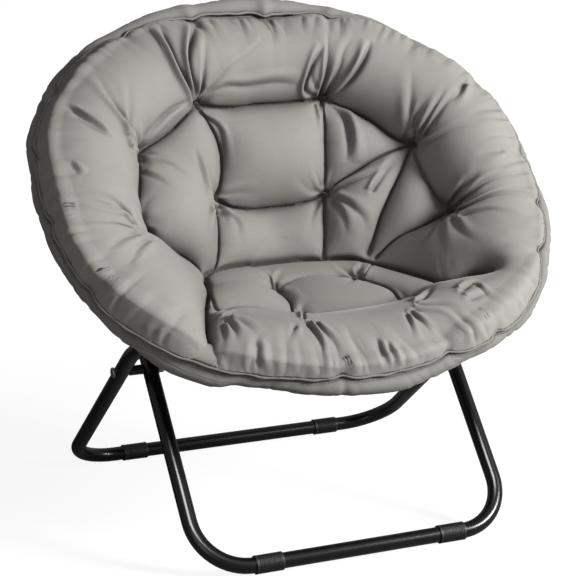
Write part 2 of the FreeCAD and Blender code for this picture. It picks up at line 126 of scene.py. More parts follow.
@dataclass(frozen=True)
class Cloth:
    """Smooth woven polyester with a faint sheen, threads that follow the piece's own map, and painted shade in its
    folds and at the bowl's bottom.
    """

    name: str
    lit: Colour
    worn: Colour
    sheen: float = 0.20
    thread_pitch: float = 0.0009
    weave_depth: float = 0.00012
    slub_depth: float = 0.00025
    crumple_depth: float = 0.0040
    # Reach and darkest share of the painted shade: first in the folds, then at the bowl's bottom
    fold_reach: float = 0.030
    fold_shade: float = 0.52
    bowl_reach: float = 0.42
    bowl_shade: float = 0.55

    def material(self) -> bpy.types.Material:
        """Builds the cloth's material.

        Returns:
            The material.
        """
        material, nodes = empty_material(self.name)
        uv = nodes.add("ShaderNodeUVMap", uv_map="UVMap").outputs["UV"]
        place = nodes.add("ShaderNodeTexCoord").outputs["Object"]
        blotch = nodes.add("ShaderNodeTexNoise", Vector=place, Scale=7.0, Detail=3.0, Roughness=0.55)
        streak_map = nodes.add("ShaderNodeMapping", Vector=uv, Scale=(28.0, 900.0, 1.0))
        streak = nodes.add("ShaderNodeTexNoise", Vector=streak_map.outputs[0], Scale=1.0, Detail=2.0)
        mixed = nodes.add("ShaderNodeMath", operation="MULTIPLY_ADD")
        nodes.link(streak.outputs[0], mixed.inputs[0])
        mixed.inputs[1].default_value = 0.35
        nodes.link(blotch.outputs[0], mixed.inputs[2])
        ramp = nodes.add("ShaderNodeValToRGB", Fac=mixed.outputs[0])
        ramp.color_ramp.elements[0].position = 0.42
        ramp.color_ramp.elements[0].color = (*self.worn, 1.0)
        ramp.color_ramp.elements[1].position = 0.88
        ramp.color_ramp.elements[1].color = (*self.lit, 1.0)
        bump = self.weave(nodes, uv, streak.outputs[0])
        # The base colour carries painted shade in the folds and at the bowl's bottom
        shader = nodes.add(
            "ShaderNodeBsdfPrincipled",
            Base_Color=self.painted_shade(nodes, ramp.outputs[0]),
            Roughness=0.78,
            Normal=bump.outputs[0],
            Sheen_Weight=self.sheen,
            Sheen_Roughness=0.4,
            Specular_IOR_Level=0.3,
        )
        return finish_material(material, nodes, shader)

    def painted_shade(self, nodes: Nodes, colour: bpy.types.NodeSocket) -> bpy.types.NodeSocket:
        """Paints shade into the cloth's colour in its folds and at the bowl's bottom, where ambient occlusion
        finds them hidden.

        Args:
            nodes: The node builder.
            colour: The cloth's colour on open ground.

        Returns:
            The colour with the painted shade.
        """
        # Each pass paints shade where ambient occlusion within its reach finds the cloth hidden
        for reach, darkest in ((self.fold_reach, self.fold_shade), (self.bowl_reach, self.bowl_shade)):
            hidden = nodes.add("ShaderNodeAmbientOcclusion", Distance=reach, samples=6)
            shade = nodes.add("ShaderNodeMapRange", Value=hidden.outputs["AO"], From_Min=0.35, From_Max=0.95)
            shade.inputs["To Min"].default_value = darkest
            shade.inputs["To Max"].default_value = 1.0
            scaled = nodes.add("ShaderNodeVectorMath", operation="SCALE")
            nodes.link(colour, scaled.inputs[0])
            nodes.link(shade.outputs[0], scaled.inputs["Scale"])
            colour = scaled.outputs[0]
        return colour

    def weave(self, nodes: Nodes, uv: bpy.types.NodeSocket, streak: bpy.types.NodeSocket) -> bpy.types.Node:
        """Adds the crossing threads, the slubs and a faint crumple as bump.

        Args:
            nodes: The node builder.
            uv: The piece's map, in metres.
            streak: The slub noise.

        Returns:
            The bump node.
        """
        turns = 1.0 / self.thread_pitch / 20.0 * math.pi
        warp = nodes.add("ShaderNodeTexWave", Vector=uv, Scale=turns, bands_direction="X")
        weft = nodes.add("ShaderNodeTexWave", Vector=uv, Scale=turns, bands_direction="Y")
        crossing = nodes.add("ShaderNodeMath", operation="MULTIPLY")
        nodes.link(warp.outputs["Fac"], crossing.inputs[0])
        nodes.link(weft.outputs["Fac"], crossing.inputs[1])
        creased = nodes.add("ShaderNodeTexNoise", Vector=uv, Scale=13.0, Detail=3.0, Roughness=0.45)
        creased.inputs["Distortion"].default_value = 0.9
        crumple = nodes.add("ShaderNodeBump", Strength=0.35, Distance=self.crumple_depth)
        nodes.link(creased.outputs[0], crumple.inputs["Height"])
        slubs = nodes.add(
            "ShaderNodeBump", Strength=0.5, Distance=self.slub_depth, Height=streak, Normal=crumple.outputs[0]
        )
        return nodes.add(
            "ShaderNodeBump",
            Strength=0.4,
            Distance=self.weave_depth,
            Height=crossing.outputs[0],
            Normal=slubs.outputs[0],
        )


@dataclass(frozen=True)
class PowderCoat:
    """Glossy black powder coat, with the faint orange peel that it dries to."""

    name: str = "black_powder_coat"
    colour: Colour = (0.005, 0.005, 0.0055)
    peel_scale: float = 420.0
    peel_depth: float = 0.00012

    def material(self) -> bpy.types.Material:
        """Builds the powder coat's material.

        Returns:
            The material.
        """
        material, nodes = empty_material(self.name)
        place = nodes.add("ShaderNodeTexCoord").outputs["Object"]
        peel = nodes.add("ShaderNodeTexNoise", Vector=place, Scale=self.peel_scale, Detail=2.0)
        scuffs = nodes.add("ShaderNodeTexNoise", Vector=place, Scale=24.0, Detail=5.0, Roughness=0.65)
        gloss = nodes.add("ShaderNodeMapRange", Value=scuffs.outputs[0], To_Min=0.20, To_Max=0.29)
        bump = nodes.add("ShaderNodeBump", Strength=0.25, Distance=self.peel_depth, Height=peel.outputs[0])
        shader = nodes.add(
            "ShaderNodeBsdfPrincipled",
            Base_Color=(*self.colour, 1.0),
            Roughness=gloss.outputs[0],
            Normal=bump.outputs[0],
            Specular_IOR_Level=0.45,
        )
        return finish_material(material, nodes, shader)


@dataclass(frozen=True)
class MouldedPlastic:
    """Satin black plastic with a fine moulded grain."""

    name: str = "black_moulded_plastic"
    colour: Colour = (0.014, 0.014, 0.015)
    grain_scale: float = 1500.0

    def material(self) -> bpy.types.Material:
        """Builds the plastic's material.

        Returns:
            The material.
        """
        material, nodes = empty_material(self.name)
        place = nodes.add("ShaderNodeTexCoord").outputs["Object"]
        grain = nodes.add("ShaderNodeTexNoise", Vector=place, Scale=self.grain_scale, Detail=3.0)
        rubbed = nodes.add("ShaderNodeTexNoise", Vector=place, Scale=60.0, Detail=4.0)
        dull = nodes.add("ShaderNodeMapRange", Value=rubbed.outputs[0], To_Min=0.36, To_Max=0.55)
        bump = nodes.add("ShaderNodeBump", Strength=0.3, Distance=0.0001, Height=grain.outputs[0])
        shader = nodes.add(
            "ShaderNodeBsdfPrincipled",
            Base_Color=(*self.colour, 1.0),
            Roughness=dull.outputs[0],
            Normal=bump.outputs[0],
        )
        return finish_material(material, nodes, shader)


@dataclass(frozen=True)
class ZincPlate:
    """Zinc-plated steel of the bolts, washers, nuts and pins."""

    name: str = "zinc_plated_steel"
    bright: Colour = (0.40, 0.40, 0.39)
    dull: Colour = (0.22, 0.22, 0.215)

    def material(self) -> bpy.types.Material:
        """Builds the plated steel's material.

        Returns:
            The material.
        """
        material, nodes = empty_material(self.name)
        place = nodes.add("ShaderNodeTexCoord").outputs["Object"]
        spangle = nodes.add("ShaderNodeTexNoise", Vector=place, Scale=260.0, Detail=4.0)
        ramp = nodes.add("ShaderNodeValToRGB", Fac=spangle.outputs[0])
        ramp.color_ramp.elements[0].color = (*self.dull, 1.0)
        ramp.color_ramp.elements[1].color = (*self.bright, 1.0)
        turned = nodes.add("ShaderNodeMapRange", Value=spangle.outputs[0], To_Min=0.24, To_Max=0.42)
        bump = nodes.add("ShaderNodeBump", Strength=0.2, Distance=0.00005, Height=spangle.outputs[0])
        shader = nodes.add(
            "ShaderNodeBsdfPrincipled",
            Base_Color=ramp.outputs[0],
            Metallic=1.0,
            Roughness=turned.outputs[0],
            Normal=bump.outputs[0],
        )
        return finish_material(material, nodes, shader)


def smoothstep(value: Array) -> Array:
    """Eases a share from 0 to 1."""
    share = np.clip(value, 0.0, 1.0)
    return share * share * (3.0 - 2.0 * share)


def smooth_curve(points: Array, steps: int = 10) -> Array:
    """Runs a smooth line through points.

    Args:
        points: The points, one row each.
        steps: How many pieces each stretch between two points gets.

    Returns:
        The points of the smooth line.
    """
    if len(points) == 2:
        share = np.linspace(0.0, 1.0, steps + 1)[:, None]
        return points[0] * (1 - share) + points[1] * share
    padded = np.vstack([2 * points[0] - points[1], points, 2 * points[-1] - points[-2]])
    share = np.linspace(0.0, 1.0, steps, endpoint=False)[:, None]
    runs = []
    for before, start, end, after in zip(padded, padded[1:], padded[2:], padded[3:]):
        linear = end - before
        square = 2 * before - 5 * start + 4 * end - after
        cube = 3 * start - before - 3 * end + after
        runs.append(start + 0.5 * share * (linear + share * (square + share * cube)))
    return np.vstack([*runs, points[-1:]])


def gap_from_line(spots: Array, line: Array) -> tuple[Array, Array, Array]:
    """Finds how spots lie beside a line.

    Args:
        spots: The spots, one row each.
        line: The line's points.

    Returns:
        The way from the line's nearest place to each spot, the side as 1 on the line's left and -1 on its
        right, and how far along the line the nearest place is, from 0 to 1.
    """
    steps = np.linalg.norm(np.diff(line, axis=0), axis=1)
    reached = np.concatenate([[0.0], np.cumsum(steps)])
    nearest = np.full(len(spots), np.inf)
    gaps = np.zeros((len(spots), 2))
    sides = np.ones(len(spots))
    along = np.zeros(len(spots))
    for start, end, length, before in zip(line, line[1:], steps, reached):
        run = (end - start) / max(length, 1e-9)
        offset = spots - start
        travel = np.clip(offset @ run, 0.0, length)
        gap = offset - travel[:, None] * run
        away = np.hypot(gap[:, 0], gap[:, 1])
        closer = away < nearest
        nearest[closer] = away[closer]
        gaps[closer] = gap[closer]
        sides[closer] = np.where(run[0] * offset[closer, 1] - run[1] * offset[closer, 0] < 0, -1.0, 1.0)
        along[closer] = (before + travel[closer]) / max(reached[-1], 1e-9)
    return gaps, sides, along


def distance_to_line(spots: Array, line: Array) -> tuple[Array, Array]:
    """Measures how far spots lie from a line, positive on its left, and how far along it."""
    gaps, sides, along = gap_from_line(spots, line)
    return np.hypot(gaps[:, 0], gaps[:, 1]) * sides, along


# The top seam round the rim, read off the photograph: direction in degrees, how far outside the tube's middle
# line it runs and how high above the rim's plane, in millimetres
SEAM: tuple[tuple[float, float, float], ...] = (
    (0, 0, 19),
    (20, -1, 19),
    (31, 5, 18),
    (43, 0, 19),
    (54, 0, 19),
    (67, -9, 17),
    (81, -21, 14),
    (94, -20, 14),
    (107, -13, 14),
    (119, -6, 17),
    (130, 0, 19),
    (142, 8, 18),
    (156, 4, 19),
    (173, 11, 19),
    (181, 13, 18),
    (195, 7, 17),
    (204, 12, 13),
    (211, 17, 10),
    (223, 18, 9),
    (234, 15, 10),
    (243, 10, 13),
    (252, 6, 16),
    (265, 4, 19),
    (289, 2, 19),
    (301, 12, 15),
    (313, 17, 12),
    (323, 13, 14),
    (334, -4, 19),
    (346, -5, 19),
)

# The sleeve's outer edge round the rim: direction in degrees, how far it stands off the tube's middle line
OUTER_EDGE: tuple[tuple[float, float], ...] = (
    (3, 16),
    (13, 14),
    (20, 18),
    (25, 13),
    (36, 20),
    (44, 15),
    (55, 22),
    (66, 16),
    (73, 14),
    (82, 12.6),
    (92, 14),
    (101, 12.6),
    (109, 18),
    (117, 20),
    (127, 19),
    (134, 24),
    (145, 23),
    (158, 17),
    (164, 19),
    (171, 15),
    (178, 19),
    (187, 15),
    (197, 13),
    (206, 18),
    (215, 27),
    (225, 34),
    (234, 32),
    (240, 19),
    (247, 15),
    (256, 16.5),
    (267, 18),
    (278, 20.5),
    (286, 16.5),
    (296, 14.5),
    (306, 21),
    (317, 28),
    (327, 22),
    (336, 13),
    (350, 13),
)

# Where gathers draw the edge in: directions round the rim, in degrees
NOTCHES: tuple[float, ...] = (3, 24, 42, 66, 85, 107, 128, 152, 170, 186, 203, 262, 291, 306, 334, 348)


def round_table(angle: Array, rows: tuple[tuple[float, ...], ...], column: int) -> Array:
    """Reads a smooth value off a table that runs once round the rim.

    Args:
        angle: The directions, in radians.
        rows: The table, each row starting with a direction in degrees.
        column: Which of the row's values to read, in millimetres.

    Returns:
        The values in metres.
    """
    at = np.array([row[0] for row in rows], float)
    value = np.array([row[column] for row in rows], float) / 1000
    at = np.concatenate([at - 360, at, at + 360])
    value = np.tile(value, 3)
    turn = np.degrees(angle) % 360
    index = np.clip(np.searchsorted(at, turn, side="right") - 1, 1, len(at) - 3)
    share = (turn - at[index]) / (at[index + 1] - at[index])
    ease = share * share * (3 - 2 * share)
    return value[index] * (1 - ease) + value[index + 1] * ease


@dataclass(frozen=True)
class Bowl:
    """The saucer's own measure: x across, reach up the back or, negative, down the seat, rise off the rim."""

    hinge_y: float
    hinge_z: float
    back_tilt: float = math.radians(47.1)
    seat_tilt: float = math.radians(43.0)
    tilt_ease: float = 0.080
    half_width: float = 0.371
    side_radius: float = 0.215
    side_straight: float = 0.042
    crown_radius: float = 0.420
    crown_drop: float = 0.091
    join_angle: float = math.radians(40.4)
    seam_inset: float = 0.009
    back_depth: float = 0.165
    seat_depth: float = 0.150
    edge_rise: float = 0.018
    centre_ease: float = 0.09
    notch_depth: float = 0.006
    notch_width: float = 1.8
    seat_roundness: float = 1.8
    seat_start: float = -0.060
    seat_ease: float = 0.080
    seam_tuck: float = 0.002
    seam_zone: float = 0.72
    under_edge: float = -0.012
    under_depth: float = 0.215
    under_roundness: float = 1.6

    def rim_distance(self, angle: Array, inset: float | Array) -> Array:
        """Says how far the rim's middle line is from the saucer's middle.

        Args:
            angle: The direction in the rim's plane, 0 at the right and a quarter turn at the top of the back.
            inset: How far inside the rim's line to measure.

        Returns:
            The distance in that direction.
        """
        across = np.abs(np.cos(angle)) + 1e-9
        up = np.abs(np.sin(angle))
        centre_x = self.half_width - self.side_radius
        side_radius = self.side_radius - inset
        crown_radius = self.crown_radius - inset
        straight = (self.half_width - inset) / across
        toward_side = across * centre_x + up * self.side_straight
        reach = side_radius**2 - centre_x**2 - self.side_straight**2
        side = toward_side + np.sqrt(np.maximum(reach + toward_side**2, 0.0))
        toward_crown = -up * self.crown_drop
        crown = toward_crown + np.sqrt(crown_radius**2 - self.crown_drop**2 + toward_crown**2)
        join_x = centre_x + side_radius * math.cos(self.join_angle)
        found = np.where(crown * across < join_x, crown, side)
        return np.where(straight * up <= self.side_straight, straight, found)

    def share(self, x: Array, reach: Array) -> Array:
        """Says how far out a spot is, from 0 in the middle to 1 just inside the rim's tube."""
        return np.hypot(x, reach) / self.rim_distance(np.arctan2(reach, x), self.seam_inset)

    def seam_distance(self, angle: Array) -> Array:
        """Says how far the seam is from the saucer's middle.

        Args:
            angle: The direction in the rim's plane.

        Returns:
            The distance in that direction.
        """
        drawn = np.zeros_like(angle)
        for notch in NOTCHES:
            off = (np.degrees(angle) - notch + 180) % 360 - 180
            drawn = drawn + self.notch_depth * np.exp(-((off / self.notch_width) ** 2))
        return self.rim_distance(angle, 0.0) + round_table(angle, SEAM, 1) - drawn

    def seam_rise(self, angle: Array) -> Array:
        """Says how high the seam is above the rim's plane."""
        return round_table(angle, SEAM, 2)

    def seam_share(self, x: Array, reach: Array) -> Array:
        """Says how far out a spot is, from 0 in the middle to 1 at the seam."""
        return np.hypot(x, reach) / self.seam_distance(np.arctan2(reach, x))

    def place(self, x: Array, reach: Array, rise: Array) -> Array:
        """Turns the saucer's measures into points of the chair.

        Args:
            x: The distance to the right of the middle.
            reach: The distance up the back or, negative, down the seat.
            rise: The height above the rim's plane.

        Returns:
            The points, with a last axis of three.
        """
        ease = smoothstep((reach + self.tilt_ease) / (2 * self.tilt_ease))
        tilt = self.seat_tilt + (self.back_tilt - self.seat_tilt) * ease
        y = self.hinge_y + reach * np.cos(tilt) - rise * np.sin(tilt)
        z = self.hinge_z + reach * np.sin(tilt) + rise * np.cos(tilt)
        return np.stack(np.broadcast_arrays(x, y, z), axis=-1)

    def measure(self, points: Array) -> tuple[Array, Array, Array]:
        """Turns points of the chair into the saucer's measures, the other way round from place.

        Args:
            points: The points, with a last axis of three.

        Returns:
            Their x, reach and rise.
        """
        y = points[..., 1] - self.hinge_y
        z = points[..., 2] - self.hinge_z
        reach = np.zeros_like(y)
        tilt = reach
        for _ in range(12):
            ease = smoothstep((reach + self.tilt_ease) / (2 * self.tilt_ease))
            tilt = self.seat_tilt + (self.back_tilt - self.seat_tilt) * ease
            reach = y * np.cos(tilt) + z * np.sin(tilt)
        return points[..., 0], reach, z * np.cos(tilt) - y * np.sin(tilt)

    def tuft_level(self, x: Array, reach: Array) -> Array:
        """Says how deep the cushion's top is pulled where it is tied.

        Args:
            x: The distance to the right of the middle.
            reach: The distance up the back or, negative, down the seat.

        Returns:
            The rise off the rim's plane, negative down in the bowl.
        """
        share = np.hypot(np.minimum(self.share(x, reach), 1.0), self.centre_ease)
        back = -self.back_depth + (self.back_depth + self.edge_rise) * share
        seat = -self.seat_depth + (self.seat_depth + self.edge_rise) * share**self.seat_roundness
        ease = smoothstep((reach - self.seat_start) / self.seat_ease)
        level = seat * (1 - ease) + back * ease
        out = self.seam_share(x, reach)
        seam = self.seam_rise(np.arctan2(reach, x)) - self.seam_tuck
        return level + (seam - self.edge_rise) * smoothstep((out - self.seam_zone) / (1 - self.seam_zone))

    def under_level(self, share: Array) -> Array:
        """Says how deep the cushion's underside is."""
        return self.under_edge - self.under_depth * (1 - share**self.under_roundness)

    def fold_line(self, half_zone: float) -> tuple[Vector, Vector]:
        """Gives the two points between which the cloth bends when the rim folds.

        Args:
            half_zone: How far the bending reaches to each side of the hinge.

        Returns:
            A point on the back half and a point on the seat half.
        """
        back = self.place(np.float64(0.0), np.float64(half_zone), np.float64(0.0))
        seat = self.place(np.float64(0.0), np.float64(-half_zone), np.float64(0.0))
        return Vector(back), Vector(seat)


def disc_grid(count: int) -> tuple[Array, Array]:
    """Spreads a square grid over a disc.

    Args:
        count: The grid's points along one side.

    Returns:
        The share of the radius and the direction at each grid point.
    """
    line = np.linspace(-1.0, 1.0, count)
    a, b = np.meshgrid(line, line)
    wide = np.abs(a) >= np.abs(b)
    safe_a = np.where(np.abs(a) < 1e-12, 1e-12, a)
    safe_b = np.where(np.abs(b) < 1e-12, 1e-12, b)
    radius = np.where(wide, a, b)
    turn = np.where(wide, math.pi / 4 * b / safe_a, math.pi / 2 - math.pi / 4 * a / safe_b)
    return np.abs(radius), np.arctan2(radius * np.sin(turn), radius * np.cos(turn))


def make_mesh(name: str, points: Array, faces: Array, uv: Array | None = None) -> bpy.types.Object:
    """Makes a smooth-shaded mesh object at the origin.

    Args:
        name: The piece's name.
        points: The points, one row each.
        faces: The corners of each four-sided face.
        uv: The piece's map, one row for each point.

    Returns:
        The object.
    """
    mesh = bpy.data.meshes.new(name)
    mesh.from_pydata(points.tolist(), [], faces.tolist())
    if uv is not None:
        corners = np.zeros(len(mesh.loops), np.int32)
        mesh.loops.foreach_get("vertex_index", corners)
        layer = mesh.uv_layers.new(name="UVMap")
        layer.data.foreach_set("uv", uv[corners].astype(np.float32).ravel())
    mesh.shade_smooth()
    piece = bpy.data.objects.new(name, mesh)
    bpy.context.scene.collection.objects.link(piece)
    return piece


def grid_faces(rows: int, columns: int, closed_rows: bool = False, closed_columns: bool = False) -> Array:
    """Lists the four-sided faces of a grid of points.

    Args:
        rows: How many rows of points there are.
        columns: How many points a row has.
        closed_rows: Whether the last row joins the first.
        closed_columns: Whether each row's last point joins its first.

    Returns:
        The corners of each face.
    """
    row = np.arange(rows if closed_rows else rows - 1)
    column = np.arange(columns if closed_columns else columns - 1)
    r, c = np.meshgrid(row, column, indexing="ij")
    below = (r + 1) % rows
    beside = (c + 1) % columns
    corners = [r * columns + c, r * columns + beside, below * columns + beside, below * columns + c]
    return np.stack(corners, axis=-1).reshape(-1, 4)


def dress(piece: bpy.types.Object, material: bpy.types.Material) -> None:
    """Gives a piece one material."""
    piece.data.materials.clear()
    piece.data.materials.append(material)


# Where the cushion is tied, by x and reach
TIES: dict[str, Point] = {
    "top_left": (-0.100, 0.188),
    "top_right": (0.107, 0.187),
    "side_left": (-0.212, 0.107),
    "side_right": (0.229, 0.088),
    "arm_left": (-0.231, -0.010),
    "arm_right": (0.257, -0.031),
    "low_left": (-0.088, 0.057),
    "low_right": (0.092, 0.052),
    "seat_front_left": (-0.146, -0.158),
    "seat_rear_left": (-0.031, -0.092),
    "seat_front_middle": (-0.021, -0.168),
    "seat_rear_right": (0.097, -0.094),
    "seat_front_right": (0.139, -0.180),
}


@dataclass(frozen=True)
class Crease:
    """A valley between puffs, from one tie or spot to another.

    Attributes:
        route: The ties by name, and the spots between them in the picture's pixels from its top left.
        lift: How high the valley's middle stands over its tied ends.
        pinch: How deep its narrow bottom is drawn in.
        width: How wide that bottom is.
        crowd: How far the puffs beside it lean over it.
        crowd_width: How far from it they lean the most.
    """

    route: tuple[str | Point, ...]
    lift: float = 0.008
    pinch: float = 0.004
    width: float = 0.0026
    crowd: float = 0.0030
    crowd_width: float = 0.0100

    def line(self, picture: "Picture") -> Array:
        """Finds the valley's smooth line in x and reach on the bowl."""
        spots = [TIES[spot] if isinstance(spot, str) else picture.on_bowl(spot) for spot in self.route]
        return smooth_curve(np.array(spots, float), 8)


CREASES: tuple[Crease, ...] = (
    Crease(("top_left", (230, 104), (260, 101), (292, 99), "top_right"), 0.002, 0.007),
    Crease(("low_left", (240, 206), (270, 205), (300, 201), "low_right"), 0.004, 0.006),
    Crease(("top_left", (170, 127), (150, 142), "side_left"), 0.008, 0.005),
    Crease(("side_left", (138, 180), (137, 203), "arm_left"), 0.002, 0.007),
    Crease(("top_left", (210, 125), (218, 150), (219, 177), "low_left"), 0.008, 0.005),
    Crease(("top_right", (325, 130), (326, 162), "low_right"), 0.012, 0.004),
    Crease(("top_right", (345, 105), (370, 117), (392, 132), "side_right"), 0.004, 0.007),
    Crease(("side_right", (432, 185), "arm_right"), 0.010, 0.003, 0.0020),
    Crease(("low_right", (355, 172), (380, 156), "side_right"), 0.010, 0.005),
    Crease(("low_left", (216, 225), (218, 250), (218, 268)), 0.005, 0.006),
    Crease(("low_right", (327, 225), (325, 254)), 0.006, 0.006),
    Crease(("side_right", (397, 185), (382, 215), (371, 250)), 0.008, 0.007),
    Crease(("arm_right", (425, 225), (402, 236), (378, 254)), 0.012, 0.006),
    Crease(("arm_left", (155, 243), (183, 257), (201, 271), (208, 285)), 0.004, 0.007, 0.0030, 0.007, 0.022),
    Crease(
        (
            (208, 285),
            (212, 271),
            (242, 263),
            (285, 259),
            (325, 256),
            (360, 257),
            (392, 265),
            (430, 276),
            (452, 282),
            (475, 276),
            (495, 274),
        ),
        0.0,
        0.010,
        0.0045,
    ),
    Crease(
        ((208, 285), (206, 312), (207, 335), (211, 348), (207, 360), (199, 369)),
        0.0,
        0.013,
        0.0042,
        0.006,
        0.020,
    ),
    Crease(("seat_front_left", (237, 311), (262, 314), (285, 320), "seat_front_middle"), 0.012, 0.003),
    Crease(("seat_front_middle", (335, 317), (375, 312), "seat_front_right"), 0.012, 0.003),
    Crease(("seat_rear_left", (290, 302), (295, 316), "seat_front_middle"), 0.006, 0.006),
    Crease(("seat_rear_right", (390, 288), (402, 299), "seat_front_right"), 0.005, 0.006),
    Crease(("seat_rear_left", (310, 279), "seat_rear_right"), 0.014, 0.001),
    Crease(("seat_rear_left", (268, 278), (255, 270), (245, 263)), 0.013, 0.001),
    Crease(("seat_rear_right", (366, 277), (375, 262)), 0.012, 0.003),
    Crease(("seat_front_right", (432, 287), (450, 283)), 0.010, 0.003),
    Crease(("seat_front_left", (217, 303), (208, 285)), 0.006, 0.004),
)


@dataclass(frozen=True)
class Picture:
    """The photograph's viewing ray for each of its spots, and what it meets."""

    bowl: "Bowl"
    camera_at: Place
    heading: float
    looking_down: float
    focal_pixels: float
    middle_pixels: Point
    lift: float = 0.010

    def axes(self) -> tuple[Array, Array, Array]:
        """Works out how the picture is turned.

        Returns:
            The directions to the right, upwards and forwards.
        """
        side, ahead = math.cos(self.heading), -math.sin(self.heading)
        down, level = math.sin(self.looking_down), math.cos(self.looking_down)
        right = np.array([side, -ahead, 0.0])
        forward = np.array([ahead * level, side * level, -down])
        up = np.array([ahead * down, side * down, level])
        return right, up, forward

    def see(self, points: Array) -> tuple[Array, Array]:
        """Projects points into the picture.

        Args:
            points: The points, with a last axis of three.

        Returns:
            The picture's spots and how far away each point is.
        """
        right, up, forward = self.axes()
        offset = points - np.array(self.camera_at)
        away = offset @ forward
        u = self.middle_pixels[0] + self.focal_pixels * (offset @ right) / away
        v = self.middle_pixels[1] - self.focal_pixels * (offset @ up) / away
        return np.stack([u, v], axis=-1), away

    def on_bowl(self, spot: Point) -> Point:
        """Finds the place on the cushion's tied-down level that a spot of the picture shows.

        Args:
            spot: The spot, in the picture's pixels.

        Returns:
            The place's x and reach.
        """
        right, up, forward = self.axes()
        u = (spot[0] - self.middle_pixels[0]) / self.focal_pixels
        v = (self.middle_pixels[1] - spot[1]) / self.focal_pixels
        ray = forward + u * right + v * up
        points = np.array(self.camera_at) + np.arange(1.9, 3.1, 0.0015)[:, None] * ray
        x, reach, rise = self.bowl.measure(points)
        sunk = rise < self.bowl.tuft_level(x, reach) + self.lift
        inside = self.bowl.seam_share(x, reach) < 1.0
        hit = int(np.argmax(sunk & inside))
        return float(x[hit]), float(reach[hit])


@dataclass(frozen=True)
class Puffs:
    """How the filling pushes the cloth up between the creases, as a stretched skin."""

    bowl: Bowl
    lines: tuple[tuple[Crease, Array], ...]
    pitch: float = 0.003
    fill: float = 0.066
    seat_fill: float = 0.046
    spread: float = 0.036
    passes: int = 260

    def solve(self) -> tuple[Array, Array, Array]:
        """Works out the puffs on an even grid.

        Returns:
            The grid's x values, its reach values and the height at each crossing.
        """
        height = None
        for coarse in (4, 2, 1):
            height = self.relax(self.pitch * coarse, height)
        return height

    def relax(self, pitch: float, coarser: tuple[Array, Array, Array] | None) -> tuple[Array, Array, Array]:
        """Settles the skin at one grid pitch.

        Args:
            pitch: The distance between grid lines.
            coarser: The settled skin at a wider pitch, to start from.

        Returns:
            The grid's x values, its reach values and the heights.
        """
        x = np.arange(-0.405, 0.405 + pitch / 2, pitch)
        reach = np.arange(-0.363, 0.363 + pitch / 2, pitch)
        grid_x, grid_reach = np.meshgrid(x, reach)
        held = self.bowl.seam_share(grid_x, grid_reach) >= 1.0
        level = np.zeros_like(grid_x)
        spots = np.stack([grid_x.ravel(), grid_reach.ravel()], axis=-1)
        for crease, line in self.lines:
            away, along = distance_to_line(spots, line)
            near = (np.abs(away) < pitch * 0.75).reshape(grid_x.shape)
            lift = crease.lift * np.sin(np.clip(along, 0, 1) * math.pi).reshape(grid_x.shape)
            level = np.where(near & ~held, lift, np.where(near & held, np.minimum(level, lift), level))
            held |= near
        share = self.bowl.share(grid_x, grid_reach)
        seat = smoothstep((-grid_reach - 0.02) / 0.05) * smoothstep((0.80 - share) / 0.15)
        seat *= smoothstep((0.24 - np.abs(grid_x)) / 0.06)
        fill = self.fill + (self.seat_fill - self.fill) * seat
        height = np.zeros_like(grid_x) if coarser is None else sample_grid(coarser, grid_x, grid_reach)
        stiffness = (pitch / self.spread) ** 2
        for _ in range(self.passes):
            around = height[:-2, 1:-1] + height[2:, 1:-1] + height[1:-1, :-2] + height[1:-1, 2:]
            height[1:-1, 1:-1] = (around + stiffness * fill[1:-1, 1:-1]) / (4 + stiffness)
            height = np.where(held, level, height)
        return x, reach, height


def sample_grid(grid: tuple[Array, Array, Array], x: Array, reach: Array) -> Array:
    """Reads a grid of heights between its lines.

    Args:
        grid: The grid's x values, its reach values and its heights.
        x: Where to read, across.
        reach: Where to read, along.

    Returns:
        The heights there.
    """
    line_x, line_reach, height = grid
    column = np.clip((x - line_x[0]) / (line_x[1] - line_x[0]), 0, len(line_x) - 1.001)
    row = np.clip((reach - line_reach[0]) / (line_reach[1] - line_reach[0]), 0, len(line_reach) - 1.001)
    c, r = column.astype(int), row.astype(int)
    u, v = column - c, row - r
    low = height[r, c] * (1 - u) + height[r, c + 1] * u
    high = height[r + 1, c] * (1 - u) + height[r + 1, c + 1] * u
    return low * (1 - v) + high * v


@dataclass(frozen=True)
class Fold:
    """A pinched fold in the cloth: a narrow groove with a ridge beside it, fading along its length."""

    line: Array
    depth: float
    width: float
    widen: float = 1.6
    ridge: float = 0.6
    from_start: bool = True

    def press(self, spots: Array, depth: Array) -> None:
        """Adds the fold to the heights.

        Args:
            spots: The spots of the cloth, in x and reach.
            depth: The heights at those spots, changed in place.
        """
        margin = self.width * 6
        low = self.line.min(0) - margin
        high = self.line.max(0) + margin
        near = np.flatnonzero(np.all((spots > low) & (spots < high), axis=1))
        if not len(near):
            return
        away, along = distance_to_line(spots[near], self.line)
        width = self.width * (1 + self.widen * along)
        if self.from_start:
            fade = (1 - along) ** 1.2 * smoothstep(along / 0.06 + 0.35)
        else:
            fade = np.sin(np.clip(along, 0, 1) * math.pi) ** 0.8
        groove = np.exp(-(np.abs(away / width) ** 1.3))
        bank = np.exp(-(((away - 2.0 * width) / (1.5 * width)) ** 2))
        depth[near] += self.depth * fade * (self.ridge * bank - groove)


@dataclass(frozen=True)
class SeenFold:
    """A longer fold as the photograph shows it: its route in the picture and its strength."""

    route: tuple[Point, ...]
    depth: float
    width: float = 0.0030
    fades: bool = True
    ridge: float = 0.7
    widen: float = 0.8


